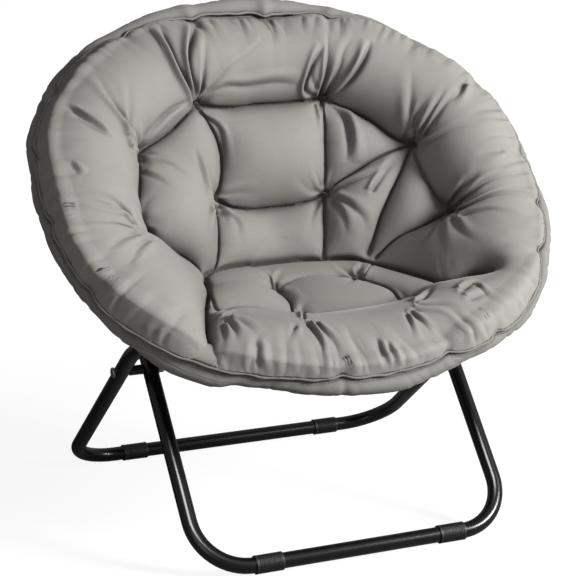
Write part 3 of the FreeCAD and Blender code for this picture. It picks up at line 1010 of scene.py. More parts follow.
SEEN_FOLDS: tuple[SeenFold, ...] = (
    # Upper left, out from the top left tie
    SeenFold(((194, 102), (182, 72), (172, 47), (160, 24)), 0.0080, 0.0030, False, 0.9),
    SeenFold(((196, 100), (192, 72), (192, 45), (195, 18)), 0.0085, 0.0030, False, 0.7),
    SeenFold(((200, 97), (206, 70), (207, 46), (203, 24)), 0.0045, 0.0035),
    SeenFold(((205, 93), (227, 71), (250, 52), (270, 30)), 0.0022, 0.0018, True, 0.5),
    SeenFold(((203, 95), (226, 88), (246, 87), (276, 84), (302, 86)), 0.0035, 0.0030, False),
    SeenFold(((192, 99), (170, 113), (142, 140)), 0.0055, 0.0024, False, 0.3),
    SeenFold(((202, 112), (216, 127), (221, 148), (222, 172)), 0.0035, 0.0024),
    SeenFold(((195, 146), (204, 172), (212, 199)), 0.0035, 0.0030, False),
    # Left arm
    SeenFold(((134, 150), (129, 126), (119, 107), (107, 89), (92, 67)), 0.0075, 0.0030, True, 1.0),
    SeenFold(((130, 140), (132, 112), (130, 88), (128, 72)), 0.0050, 0.0035),
    SeenFold(((66, 104), (87, 117), (108, 131)), 0.0050, 0.0026, False, 1.0),
    SeenFold(((72, 113), (92, 124), (114, 137)), 0.0030, 0.0026, False, 0.8),
    SeenFold(((68, 160), (80, 173)), 0.0030, 0.0022, False),
    SeenFold(((140, 155), (160, 160), (180, 170), (196, 186)), 0.0040, 0.0035),
    SeenFold(((141, 171), (158, 178), (174, 190)), 0.0030, 0.0035),
    SeenFold(((137, 224), (126, 211), (103, 203), (70, 198)), 0.0050, 0.0032),
    SeenFold(((134, 216), (115, 198), (83, 187), (48, 186)), 0.0040, 0.0035),
    SeenFold(((137, 229), (120, 222), (98, 220), (66, 222)), 0.0035, 0.0035),
    SeenFold(((141, 232), (120, 240), (104, 256), (92, 276)), 0.0030, 0.0040),
    SeenFold(((150, 238), (136, 255), (128, 280)), 0.0028, 0.0040),
    # Lower back, down from its ties
    SeenFold(((217, 206), (232, 215), (240, 232), (243, 250)), 0.0050, 0.0030),
    SeenFold(((214, 206), (212, 225), (215, 248)), 0.0040, 0.0024),
    SeenFold(((217, 196), (240, 194), (262, 194)), 0.0025, 0.0030),
    SeenFold(((330, 199), (341, 214), (345, 238)), 0.0045, 0.0028),
    SeenFold(((332, 197), (352, 207), (365, 221), (363, 240)), 0.0050, 0.0035),
    SeenFold(((318, 199), (312, 215), (310, 235)), 0.0025, 0.0030),
    # Up from the top right tie
    SeenFold(((318, 97), (306, 90), (314, 67), (325, 45)), 0.0050, 0.0024, False),
    SeenFold(((321, 95), (327, 75), (329, 50), (327, 30)), 0.0060, 0.0028),
    SeenFold(((323, 97), (339, 71), (345, 50), (357, 30)), 0.0045, 0.0035),
    SeenFold(((330, 98), (352, 80), (365, 60), (372, 40)), 0.0065, 0.0030, False, 0.8),
    SeenFold(((327, 104), (343, 117), (349, 140), (346, 163)), 0.0055, 0.0040, False, 0.9),
    SeenFold(((315, 103), (318, 120), (320, 140)), 0.0030, 0.0024),
    SeenFold(((322, 188), (318, 176), (317, 160)), 0.0030, 0.0024),
    SeenFold(((331, 191), (360, 176), (388, 166), (404, 152)), 0.0045, 0.0030),
    SeenFold(((372, 190), (389, 165), (402, 150)), 0.0045, 0.0028),
    # Right arm, round its two ties
    SeenFold(((413, 140), (416, 117), (425, 97)), 0.0050, 0.0028),
    SeenFold(((417, 142), (430, 112), (447, 84)), 0.0065, 0.0032),
    SeenFold(((421, 139), (440, 108), (463, 82)), 0.0050, 0.0032),
    SeenFold(((410, 134), (409, 100), (412, 62)), 0.0040, 0.0045),
    SeenFold(((421, 146), (446, 132), (470, 124)), 0.0030, 0.0040),
    SeenFold(((453, 210), (470, 191), (490, 178), (528, 173)), 0.0060, 0.0032),
    SeenFold(((456, 212), (480, 198), (505, 191), (532, 193)), 0.0070, 0.0034),
    SeenFold(((458, 215), (490, 208), (530, 217)), 0.0045, 0.0034),
    SeenFold(((450, 205), (462, 186), (480, 170)), 0.0045, 0.0030),
    SeenFold(((452, 217), (462, 232), (480, 244)), 0.0035, 0.0040),
    SeenFold(((445, 217), (440, 236), (444, 258)), 0.0040, 0.0040),
    SeenFold(((445, 216), (430, 230), (415, 246)), 0.0035, 0.0030),
    SeenFold(((465, 82), (458, 92), (449, 101)), 0.0060, 0.0035),
    SeenFold(((505, 150), (490, 150), (472, 156)), 0.0025, 0.0040),
    # Seat: its rear ties, front ties and front roll
    SeenFold(((276, 288), (269, 280), (262, 270)), 0.0045, 0.0024),
    SeenFold(((278, 288), (277, 277), (286, 267)), 0.0030, 0.0024),
    SeenFold(((355, 277), (346, 270), (332, 262)), 0.0050, 0.0026),
    SeenFold(((358, 276), (357, 268), (362, 259)), 0.0035, 0.0022),
    SeenFold(((304, 318), (302, 307), (298, 300)), 0.0045, 0.0022),
    SeenFold(((223, 316), (238, 310), (254, 309)), 0.0045, 0.0026),
    SeenFold(((225, 318), (235, 330), (239, 348)), 0.0055, 0.0030),
    SeenFold(((222, 322), (223, 338), (218, 352)), 0.0045, 0.0024),
    SeenFold(((228, 317), (250, 326), (262, 342)), 0.0028, 0.0035),
    SeenFold(((308, 322), (320, 338), (324, 356), (318, 372)), 0.0065, 0.0028),
    SeenFold(((316, 322), (333, 340), (342, 360)), 0.0045, 0.0030),
    SeenFold(((296, 324), (292, 334), (288, 342)), 0.0028, 0.0030),
    SeenFold(((406, 312), (412, 328), (414, 342)), 0.0035, 0.0026),
    SeenFold(((411, 311), (425, 322), (434, 338)), 0.0045, 0.0028),
    SeenFold(((414, 308), (440, 312), (460, 326)), 0.0035, 0.0032),
    SeenFold(((419, 304), (442, 302), (466, 309)), 0.0045, 0.0030),
    SeenFold(((418, 301), (427, 293), (433, 284)), 0.0055, 0.0026),
    SeenFold(((377, 336), (382, 350), (383, 366)), 0.0030, 0.0030, False),
    SeenFold(((390, 340), (394, 354), (393, 366)), 0.0025, 0.0028, False),
    SeenFold(((255, 338), (259, 356), (258, 374)), 0.0028, 0.0032, False),
    SeenFold(((462, 288), (478, 279), (497, 277)), 0.0050, 0.0030),
    SeenFold(((470, 297), (490, 290), (512, 294)), 0.0035, 0.0035),
    SeenFold(((476, 283), (487, 293), (496, 304)), 0.0028, 0.0030),
)


class Folds:
    """All the folds of the cushion's top: round its ties, along its edge and the longer ones."""

    tie_lengths: Point = (0.4, 1.0)
    tie_depths: Point = (0.0018, 0.0042)
    tie_widths: Point = (0.0017, 0.0028)
    tie_bows: float = 0.16
    edge_lengths: Point = (0.02, 0.075)
    edge_depths: Point = (0.0008, 0.0032)
    edge_widths: Point = (0.0022, 0.0045)
    edge_leans: float = 0.22
    edge_bows: float = 0.14
    edge_gathers: int = 96
    back_folds: tuple[int, float] = (12, 0.060)
    seat_folds: tuple[int, float] = (9, 0.045)
    seen_margin: float = 1.2
    seen_deepening: float = 1.5
    seen_narrowing: float = 0.9

    def __init__(self, bowl: Bowl, seed: int = 11) -> None:
        """Takes the bowl and the seed of the small differences."""
        self.bowl = bowl
        self.random = np.random.default_rng(seed)

    def round_tie(self, tie: Point, count: int, reach: float) -> list[Fold]:
        """Makes the short folds that run out from a tie.

        Args:
            tie: Where the tie is.
            count: How many folds there are.
            reach: How long the longest is.

        Returns:
            The folds.
        """
        folds = []
        for turn in range(count):
            angle = (turn + self.random.uniform(-0.35, 0.35)) * 2 * math.pi / count
            length = reach * self.random.uniform(*self.tie_lengths)
            bow = length * self.random.uniform(-self.tie_bows, self.tie_bows)
            out = np.array([math.cos(angle), math.sin(angle)])
            side = np.array([-out[1], out[0]])
            start = np.array(tie) + out * 0.003
            middle = start + out * length * 0.5 + side * bow
            line = smooth_curve(np.array([start, middle, start + out * length]), 5)
            depth = self.random.uniform(*self.tie_depths)
            folds.append(Fold(line, depth, self.random.uniform(*self.tie_widths), ridge=0.7))
        return folds

    def along_edge(self, count: int) -> list[Fold]:
        """Makes the gathers that run in from the seam.

        Args:
            count: How many gathers there are round the seam.

        Returns:
            The folds.
        """
        folds = []
        for turn in range(count):
            angle = (turn + self.random.uniform(-0.45, 0.45)) * 2 * math.pi / count
            length = self.random.uniform(*self.edge_lengths)
            rim = float(self.bowl.seam_distance(np.float64(angle)))
            lean = self.random.uniform(-self.edge_leans, self.edge_leans)
            start = np.array([math.cos(angle), math.sin(angle)]) * (rim - 0.002)
            inward = -np.array([math.cos(angle + lean), math.sin(angle + lean)])
            bow = self.random.uniform(-self.edge_bows, self.edge_bows)
            side = np.array([-inward[1], inward[0]]) * length * bow
            middle = start + inward * length * 0.5 + side
            line = smooth_curve(np.array([start, middle, start + inward * length]), 5)
            depth = self.random.uniform(*self.edge_depths)
            folds.append(Fold(line, depth, self.random.uniform(*self.edge_widths), ridge=0.8))
        return folds

    def all(self, picture: Picture, points: Array, x: Array, reach: Array) -> list[Fold]:
        """Gives every fold of the cushion's top.

        Args:
            picture: The photograph's viewing rays.
            points: The puffed top's points.
            x: Their x values.
            reach: Their reach values.

        Returns:
            The folds.
        """
        folds = []
        for name, tie in TIES.items():
            count, longest = self.seat_folds if name.startswith("seat") else self.back_folds
            folds += self.round_tie(tie, count, longest)
        folds += self.along_edge(self.edge_gathers)
        seen, away = picture.see(points.reshape(-1, 3))
        for fold in SEEN_FOLDS:
            line = []
            for spot in fold.route:
                gap = np.hypot(seen[:, 0] - spot[0], seen[:, 1] - spot[1])
                close = np.flatnonzero(gap < gap.min() + self.seen_margin)
                nearest = close[np.argmin(away[close])]
                line.append((x.ravel()[nearest], reach.ravel()[nearest]))
            smooth = smooth_curve(np.array(line), 8)
            depth, width = fold.depth * self.seen_deepening, fold.width * self.seen_narrowing
            folds.append(Fold(smooth, depth, width, fold.widen, fold.ridge, fold.fades))
        return folds


@dataclass
class Cushion:
    """The one tufted pad of the seat and back: its top, its drawn-in side and its underside."""

    bowl: Bowl
    picture: Picture
    material: bpy.types.Material
    columns: int = 381
    quick_columns: int = 221
    side_end: Point = (-0.0245, -0.0120)
    side_rings: int = 7
    under_rings: int = 22
    side_pull: float = 0.0025
    tie_dimple: float = 0.006
    dimple_spread: float = 0.005
    straight_pull: float = 0.55
    puffed_pull: float = 0.45
    seam_calm: float = 0.03
    crowd_tie_calm: float = 0.022
    crowd_seam_calm: float = 0.06

    def build(self) -> bpy.types.Object:
        """Makes the cushion as one closed piece.

        Returns:
            The piece.
        """
        columns = self.columns
        share, angle = disc_grid(columns)
        rim = self.bowl.seam_distance(angle)
        x = share * rim * np.cos(angle)
        reach = share * rim * np.sin(angle)
        points = self.top(x, reach)
        edge = self.edge_order(columns)
        rings, ring_uv = self.under(angle.ravel()[edge])
        top_uv = np.stack([x.ravel(), reach.ravel()], axis=-1)
        everything = np.vstack([points.reshape(-1, 3), rings])
        faces = self.faces(columns, edge, len(rings) // len(edge))
        piece = make_mesh("tufted_cushion", everything, faces, np.vstack([top_uv, ring_uv]))
        close_and_face_out(piece)
        dress(piece, self.material)
        return piece

    def top(self, x: Array, reach: Array) -> Array:
        """Works out the cushion's top.

        Args:
            x: The grid's x values.
            reach: The grid's reach values.

        Returns:
            The points of the grid.
        """
        lines = tuple((crease, crease.line(self.picture)) for crease in CREASES)
        shift = self.crowding(x, reach, lines)
        near_x, near_reach = x + shift[..., 0], reach + shift[..., 1]
        base = self.bowl.place(near_x, near_reach, self.bowl.tuft_level(near_x, near_reach))
        out = surface_normals(self.bowl.place(x, reach, self.bowl.tuft_level(x, reach)))
        puff = sample_grid(Puffs(self.bowl, lines).solve(), x, reach)
        puffed = base + out * puff[..., None]
        spots = np.stack([x.ravel(), reach.ravel()], axis=-1)
        pressed = np.zeros(len(spots))
        for fold in Folds(self.bowl).all(self.picture, puffed, x, reach):
            fold.press(spots, pressed)
        for crease, line in lines:
            pinch(spots, pressed, line, crease.pinch, crease.width)
        for tie in TIES.values():
            off = np.hypot(spots[:, 0] - tie[0], spots[:, 1] - tie[1])
            pressed -= self.tie_dimple * np.exp(-off / self.dimple_spread)
        hold = smoothstep((1.0 - self.bowl.seam_share(x, reach)) / self.seam_calm)
        pull = self.straight_pull * out + self.puffed_pull * surface_normals(puffed)
        pull /= np.linalg.norm(pull, axis=-1, keepdims=True)
        return puffed + pull * (pressed.reshape(x.shape) * hold)[..., None]

    def crowding(self, x: Array, reach: Array, lines: tuple[tuple[Crease, Array], ...]) -> Array:
        """Says how far the puffs lean over the valleys beside them.

        Args:
            x: The grid's x values.
            reach: The grid's reach values.
            lines: The creases and their lines.

        Returns:
            The shift in x and reach.
        """
        spots = np.stack([x.ravel(), reach.ravel()], axis=-1)
        shift = np.zeros_like(spots)
        for crease, line in lines:
            margin = crease.crowd_width * 7
            beside = (spots > line.min(0) - margin) & (spots < line.max(0) + margin)
            near = np.flatnonzero(np.all(beside, axis=1))
            gap, _, along = gap_from_line(spots[near], line)
            away = np.hypot(gap[:, 0], gap[:, 1]) + 1e-9
            steps = away / crease.crowd_width
            ends = smoothstep(np.minimum(along, 1 - along) / 0.15)
            lean = crease.crowd * steps * np.exp(1 - steps) * ends
            shift[near] -= gap * (lean / away)[:, None]
        calm = np.ones(len(spots))
        for tie in TIES.values():
            off = np.hypot(spots[:, 0] - tie[0], spots[:, 1] - tie[1])
            calm *= smoothstep(off / self.crowd_tie_calm)
        calm *= smoothstep((1.0 - self.bowl.seam_share(spots[:, 0], spots[:, 1])) / self.crowd_seam_calm)
        return (shift * calm[:, None]).reshape(*x.shape, 2)

    def edge_order(self, columns: int) -> Array:
        """Lists the grid's border points in order round the seam.

        Args:
            columns: How many points the grid has along a side.

        Returns:
            The border points' numbers.
        """
        last = columns - 1
        run = np.arange(last)
        bottom = run
        right = run * columns + last
        top = last * columns + (last - run)
        left = (last - run) * columns
        return np.concatenate([bottom, right, top, left])

    def under(self, angle: Array) -> tuple[Array, Array]:
        """Works out the side, which wraps over the rim's sleeve, and the underside.

        Args:
            angle: The direction at each border point.

        Returns:
            The points of the rings, outermost first, and their map.
        """
        rings = []
        maps = []
        out = self.bowl.seam_distance(angle) - self.bowl.rim_distance(angle, 0.0)
        rise = self.bowl.seam_rise(angle) - self.bowl.seam_tuck
        first_turn, first_radius = np.arctan2(rise, out), np.hypot(out, rise)
        last_turn = math.atan2(self.side_end[1], self.side_end[0]) + 2 * math.pi
        last_radius = math.hypot(*self.side_end)
        for share in np.linspace(0.0, 1.0, self.side_rings + 1)[1:]:
            turn = first_turn + (last_turn - first_turn) * share
            drawn = self.side_pull * np.sin(share * math.pi)
            radius = first_radius + (last_radius - first_radius) * share - drawn
            rim = self.bowl.rim_distance(angle, 0.0) + radius * np.cos(turn)
            rings.append(self.bowl.place(rim * np.cos(angle), rim * np.sin(angle), radius * np.sin(turn)))
            maps.append(np.stack([rim * np.cos(angle), rim * np.sin(angle) - radius * np.sin(turn)], axis=-1))
        rim = self.bowl.rim_distance(angle, 0.0) + self.side_end[0]
        for share in np.linspace(1.0, 0.0, self.under_rings + 1)[1:]:
            x = rim * np.cos(angle) * share
            reach = rim * np.sin(angle) * share
            rings.append(self.bowl.place(x, reach, np.full_like(rim, self.bowl.under_level(share))))
            maps.append(np.stack([x, reach], axis=-1))
        return np.vstack(rings), np.vstack(maps)

    def faces(self, columns: int, edge: Array, ring_count: int) -> Array:
        """Lists the faces of the top, the side and the underside.

        Args:
            columns: How many points the top's grid has along a side.
            edge: The top's border points, in order.
            ring_count: How many rings the side and the underside have.

        Returns:
            The faces, four corners each.
        """
        top = grid_faces(columns, columns)
        first = columns * columns
        around = len(edge)
        rings = np.vstack([edge, (np.arange(ring_count * around) + first).reshape(ring_count, around)])
        local = grid_faces(ring_count + 1, around, closed_columns=True)
        under = rings.ravel()[local][:, ::-1]
        return np.vstack([top, under])


def close_and_face_out(piece: bpy.types.Object) -> None:
    """Merges points that coincide and turns every face outwards.

    Args:
        piece: The piece, whose mesh is changed.
    """
    mesh = bmesh.new()
    mesh.from_mesh(piece.data)
    bmesh.ops.remove_doubles(mesh, verts=mesh.verts, dist=1e-5)
    bmesh.ops.recalc_face_normals(mesh, faces=mesh.faces)
    mesh.to_mesh(piece.data)
    mesh.free()
    piece.data.shade_smooth()


def pinch(spots: Array, depth: Array, line: Array, pull: float, width: float) -> None:
    """Pulls the cloth down in a narrow valley along a line.

    Args:
        spots: The spots of the cloth, in x and reach.
        depth: The heights at those spots, changed in place.
        line: The valley's line.
        pull: How deep it is.
        width: How wide it is.
    """
    low = line.min(0) - width * 5
    high = line.max(0) + width * 5
    near = np.flatnonzero(np.all((spots > low) & (spots < high), axis=1))
    away, along = distance_to_line(spots[near], line)
    ends = smoothstep(np.minimum(along, 1 - along) / 0.04 + 0.3)
    depth[near] -= pull * ends * np.exp(-((away / width) ** 2))


def surface_normals(points: Array) -> Array:
    """Gives the direction that faces the sitter at each point of a grid.

    Args:
        points: The grid's points.

    Returns:
        A unit direction for each point.
    """
    along_row = np.gradient(points, axis=1)
    along_column = np.gradient(points, axis=0)
    out = np.cross(along_row, along_column)
    out /= np.linalg.norm(out, axis=-1, keepdims=True) + 1e-12
    return out


@dataclass
class RimLine:
    """The closed line of the rim, walked at even steps of direction."""

    bowl: Bowl
    count: int = 720

    def angles(self) -> Array:
        """Walks round the rim.

        Returns:
            Directions whose steps along the rim are about even.
        """
        fine = np.linspace(0.0, 2 * math.pi, 4 * self.count + 1)
        distance = self.bowl.rim_distance(fine, 0.0)
        line = np.stack([distance * np.cos(fine), distance * np.sin(fine)], axis=-1)
        reached = np.concatenate([[0.0], np.cumsum(np.linalg.norm(np.diff(line, axis=0), axis=1))])
        return np.interp(np.linspace(0.0, reached[-1], self.count, endpoint=False), reached, fine)

    def seam(self, angle: Array) -> tuple[Array, Array]:
        """Says how far outside the rim's line the seam is, and how high."""
        out = self.bowl.seam_distance(angle) - self.bowl.rim_distance(angle, 0.0)
        return out, self.bowl.seam_rise(angle)

    def at(self, angle: Array, outset: Array, rise: Array) -> Array:
        """Gives points beside the rim's line.

        Args:
            angle: The directions.
            outset: How far outside the rim's line each point is.
            rise: How far above the rim's plane each point is.

        Returns:
            The points of the chair.
        """
        distance = self.bowl.rim_distance(angle, 0.0) + outset
        return self.bowl.place(distance * np.cos(angle), distance * np.sin(angle), rise)


@dataclass
class RimSleeve:
    """The gathered cloth sleeve round the rim tube, from the seam over the tube to the underside."""

    rim: RimLine
    material: bpy.types.Material
    inner_radius: float = 0.0172
    least_radius: float = 0.0122
    seam_drop: float = 0.0035
    seam_gap: float = 0.001
    swell_from: float = math.radians(-105)
    swell_below_seam: float = 0.75
    swell_highest: float = -0.15
    inner_turn: float = math.radians(150)
    tuck_sharpness: float = 0.4
    around: int = 44
    gather_count: int = 130
    seed: int = 5

    def build(self) -> bpy.types.Object:
        """Makes the sleeve as one closed ring.

        Returns:
            The piece.
        """
        angle = self.rim.angles()
        turn = np.linspace(0.0, 2 * math.pi, self.around, endpoint=False)
        a, t = np.meshgrid(angle, turn, indexing="ij")
        radius = self.radius(a, t)
        points = self.rim.at(a, radius * np.cos(t), radius * np.sin(t))
        faces = grid_faces(len(angle), self.around, closed_rows=True, closed_columns=True)
        uv = np.stack([(a * self.rim.bowl.half_width).ravel(), (t * self.inner_radius).ravel()], axis=-1)
        piece = make_mesh("rim_sleeve", points.reshape(-1, 3), faces, uv)
        close_and_face_out(piece)
        dress(piece, self.material)
        return piece

    def radius(self, angle: Array, turn: Array) -> Array:
        """Says how far the cloth is from the tube's middle line.

        Args:
            angle: The direction round the rim.
            turn: The direction round the tube, 0 outwards and a quarter turn upwards.

        Returns:
            The radius.
        """
        bowl = self.rim.bowl
        seam_out = bowl.seam_distance(angle) - bowl.rim_distance(angle, 0.0)
        seam_rise = bowl.seam_rise(angle) - self.seam_drop
        seam_turn = np.arctan2(seam_rise, seam_out)
        seam_radius = np.hypot(seam_out, seam_rise) - self.seam_gap
        edge = round_table(angle, OUTER_EDGE, 1)
        bulge_turn = np.minimum(seam_turn - self.swell_below_seam, self.swell_highest)
        radius = np.full_like(angle, self.inner_radius)
        share = (turn + math.pi) % (2 * math.pi) - math.pi
        rising = smoothstep((share - self.swell_from) / (bulge_turn - self.swell_from))
        swelling = self.inner_radius + (edge - self.inner_radius) * rising
        radius = np.where(share <= bulge_turn, swelling, radius)
        to_seam = smoothstep((share - bulge_turn) / (seam_turn - bulge_turn))
        between = (share > bulge_turn) & (share <= seam_turn)
        radius = np.where(between, edge + (seam_radius - edge) * to_seam, radius)
        inward = smoothstep((share - seam_turn) / np.maximum(self.inner_turn - seam_turn, 0.3))
        past = share > seam_turn
        tucking = seam_radius + (self.inner_radius - seam_radius) * inward**self.tuck_sharpness
        radius = np.where(past, tucking, radius)
        outward = smoothstep((np.cos(turn - bulge_turn) + 0.2) / 0.9)
        return np.maximum(radius - self.gathers(angle, turn) * outward, self.least_radius)

    def gathers(self, angle: Array, turn: Array) -> Array:
        """Says how deep the small gathers pull the cloth in.

        Args:
            angle: The direction round the rim.
            turn: The direction round the tube.

        Returns:
            The depth.
        """
        random = np.random.default_rng(self.seed)
        depth = np.zeros_like(angle)
        for _ in range(self.gather_count):
            centre = random.uniform(0, 2 * math.pi)
            width = random.uniform(0.006, 0.020)
            pull = random.uniform(0.0003, 0.0013)
            skew = random.uniform(-0.07, 0.07)
            off = np.angle(np.exp(1j * (angle - centre - skew * np.sin(turn))))
            depth += pull * np.exp(-((off / width) ** 2))
        return depth


@dataclass
class Piping:
    """The corded edge where the cushion's top is sewn to the sleeve."""

    rim: RimLine
    material: bpy.types.Material
    radius: float = 0.0019
    around: int = 10

    def build(self) -> bpy.types.Object:
        """Makes the piping as one closed ring.

        Returns:
            The piece.
        """
        angle = self.rim.angles()
        turn = np.linspace(0.0, 2 * math.pi, self.around, endpoint=False)
        a, t = np.meshgrid(angle, turn, indexing="ij")
        wobble = 0.0006 * np.sin(a * 61) + 0.0005 * np.sin(a * 37 + 1)
        out, rise = self.rim.seam(a)
        points = self.rim.at(a, out + wobble + self.radius * np.cos(t), rise + self.radius * np.sin(t))
        faces = grid_faces(len(angle), self.around, closed_rows=True, closed_columns=True)
        uv = np.stack([(a * self.rim.bowl.half_width).ravel(), (t * self.radius).ravel()], axis=-1)
        piece = make_mesh("piping", points.reshape(-1, 3), faces, uv)
        close_and_face_out(piece)
        dress(piece, self.material)
        return piece


@dataclass
class UnderCover:
    """The cloth sling under the cushion, with a low wavy relief round its middle."""

    bowl: Bowl
    material: bpy.types.Material
    edge_inset: float = 0.0160
    gap: float = 0.0015
    thickness: float = 0.0012
    relief_height: float = 0.0035
    columns: int = 161
    flat: Point = (0.91, 0.82)
    flat_area: float = 0.585

    def build(self) -> bpy.types.Object:
        """Makes the sling as a thin sheet with two sides.

        Returns:
            The piece.
        """
        share, angle = disc_grid(self.columns)
        rim = self.bowl.rim_distance(angle, self.edge_inset)
        x = share * rim * np.cos(angle)
        reach = share * rim * np.sin(angle)
        level = self.bowl.under_level(np.minimum(self.bowl.share(x, reach), 1.0)) - self.gap
        base = self.bowl.place(x, reach, level)
        away = -surface_normals(base)
        relief = self.relief_height * (1 + np.sin(angle * 9 + 3 * share)) * share**2 * (1 - share)
        points = base + away * relief[..., None]
        uv = np.stack([x.ravel(), reach.ravel()], axis=-1)
        faces = grid_faces(self.columns, self.columns)
        piece = make_mesh("under_cover", points.reshape(-1, 3), faces, uv)
        solid = piece.modifiers.new("cloth_thickness", "SOLIDIFY")
        solid.thickness = self.thickness
        solid.offset = -1.0
        dress(piece, self.material)
        return piece


@dataclass
class TieKnots:
    """The thread knots at the ties, spread by Geometry Nodes."""

    bowl: Bowl
    material: bpy.types.Material
    knot_size: float = 0.0045
    knot_lift: float = 0.0015
    thread: float = 0.0007
    seed: int = 3

    def knot(self) -> bpy.types.Object:
        """Makes one knot: three crossing loops of thread.

        Returns:
            The knot, as a pattern to spread.
        """
        points, faces = [], []
        loop_steps, around = 14, 5
        for loop in range(3):
            start = len(points)
            heading = loop * math.pi / 3
            for step in range(loop_steps):
                angle = step * 2 * math.pi / loop_steps
                centre = Vector((math.cos(angle), 0.0, 0.45 * math.sin(angle))) * self.knot_size
                out = Vector((math.cos(angle), 0.0, math.sin(angle)))
                for side in range(around):
                    turn = side * 2 * math.pi / around
                    offset = out * math.cos(turn) + Vector((0.0, 1.0, 0.0)) * math.sin(turn)
                    spot = Matrix.Rotation(heading, 3, "Z") @ (centre + offset * self.thread)
                    points.append(tuple(spot))
            ring = grid_faces(loop_steps, around, closed_rows=True, closed_columns=True) + start
            faces.append(ring)
        return make_mesh("knot_pattern", np.array(points), np.vstack(faces))

    def build(self) -> bpy.types.Object:
        """Makes all the knots as one piece.

        Returns:
            The knots.
        """
        spots = []
        for x, reach in TIES.values():
            level = float(self.bowl.tuft_level(np.float64(x), np.float64(reach))) + self.knot_lift
            spots.append(self.bowl.place(np.float64(x), np.float64(reach), np.float64(level)))
        holder = make_mesh("tie_knots", np.array(spots), np.zeros((0, 4), int))
        pattern = self.knot()
        tree = knot_tree(self.seed)
        modifier = holder.modifiers.new("knots", "NODES")
        modifier.node_group = tree
        set_input(modifier, "Pattern", pattern)
        set_input(modifier, "Finish", self.material)
        piece = apply_nodes(holder)
        bpy.data.objects.remove(pattern)
        return piece


def socket_id(tree: bpy.types.NodeTree, name: str) -> str:
    """Finds the identifier of a tree's named input.

    Args:
        tree: The tree.
        name: The input's name.

    Returns:
        The identifier.
    """
    for item in tree.interface.items_tree:
        if item.item_type == "SOCKET" and item.in_out == "INPUT" and item.name == name:
            return item.identifier
    raise KeyError(name)


def set_input(modifier: bpy.types.Modifier, name: str, value: object) -> None:
    """Sets a modifier's input by its socket's identifier."""
    modifier[socket_id(modifier.node_group, name)] = value


def apply_nodes(holder: bpy.types.Object) -> bpy.types.Object:
    """Turns a piece's live modifiers into a plain mesh and removes them.

    Args:
        holder: The object that carries the modifiers.

    Returns:
        The same object with its finished mesh.
    """
    bpy.context.view_layer.update()
    evaluated = holder.evaluated_get(bpy.context.evaluated_depsgraph_get())
    mesh = bpy.data.meshes.new_from_object(evaluated)
    holder.modifiers.clear()
    holder.data = mesh
    mesh.shade_smooth()
    return holder


def knot_tree(seed: int) -> bpy.types.NodeTree:
    """Builds the tree that sets a pattern on each point, turned at random about the upright.

    Args:
        seed: The seed of the turning.

    Returns:
        The tree.
    """
    tree = bpy.data.node_groups.new("tie_knots", "GeometryNodeTree")
    for name, kind in (("Geometry", "Geometry"), ("Pattern", "Object"), ("Finish", "Material")):
        tree.interface.new_socket(name=name, in_out="INPUT", socket_type="NodeSocket" + kind)
    tree.interface.new_socket(name="Geometry", in_out="OUTPUT", socket_type="NodeSocketGeometry")
    nodes = Nodes(tree)
    start = nodes.add("NodeGroupInput")
    pattern = nodes.add("GeometryNodeObjectInfo", Object=start.outputs["Pattern"])
    turn = nodes.add("FunctionNodeRandomValue", data_type="FLOAT_VECTOR", Seed=seed)
    turn.inputs[0].default_value = (0.5, -0.2, 0.0)
    turn.inputs[1].default_value = (0.9, 0.2, math.pi)
    spread = nodes.add("GeometryNodeInstanceOnPoints", Points=start.outputs["Geometry"])
    nodes.link(pattern.outputs["Geometry"], spread.inputs["Instance"])
    nodes.link(turn.outputs[0], spread.inputs["Rotation"])
    real = nodes.add("GeometryNodeRealizeInstances", Geometry=spread.outputs[0])
    finish = nodes.add("GeometryNodeSetMaterial", Geometry=real.outputs[0], Material=start.outputs["Finish"])
    end = nodes.add("NodeGroupOutput")
    nodes.link(finish.outputs[0], end.inputs["Geometry"])
    return tree


@dataclass
class SeamStitches:
    """The row of stitches beside the piping, spread by Geometry Nodes."""

    rim: RimLine
    material: bpy.types.Material
    spacing: float = 0.0055
    length: float = 0.0036
    thread: float = 0.00045
    outset: float = 0.0042
    rise: float = -0.0022

    def build(self) -> bpy.types.Object:
        """Makes the stitches as one piece.

        Returns:
            The piece.
        """
        angle = self.rim.angles()
        out, rise = self.rim.seam(angle)
        line = self.rim.at(angle, out + self.outset, rise + self.rise)
        mesh = bpy.data.meshes.new("seam_line")
        count = len(line)
        mesh.from_pydata(line.tolist(), [(i, (i + 1) % count) for i in range(count)], [])
        holder = bpy.data.objects.new("seam_stitches", mesh)
        bpy.context.scene.collection.objects.link(holder)
        modifier = holder.modifiers.new("stitches", "NODES")
        modifier.node_group = stitch_tree()
        set_input(modifier, "Spacing", self.spacing)
        set_input(modifier, "Length", self.length)
        set_input(modifier, "Thread", self.thread)
        set_input(modifier, "Finish", self.material)
        return apply_nodes(holder)


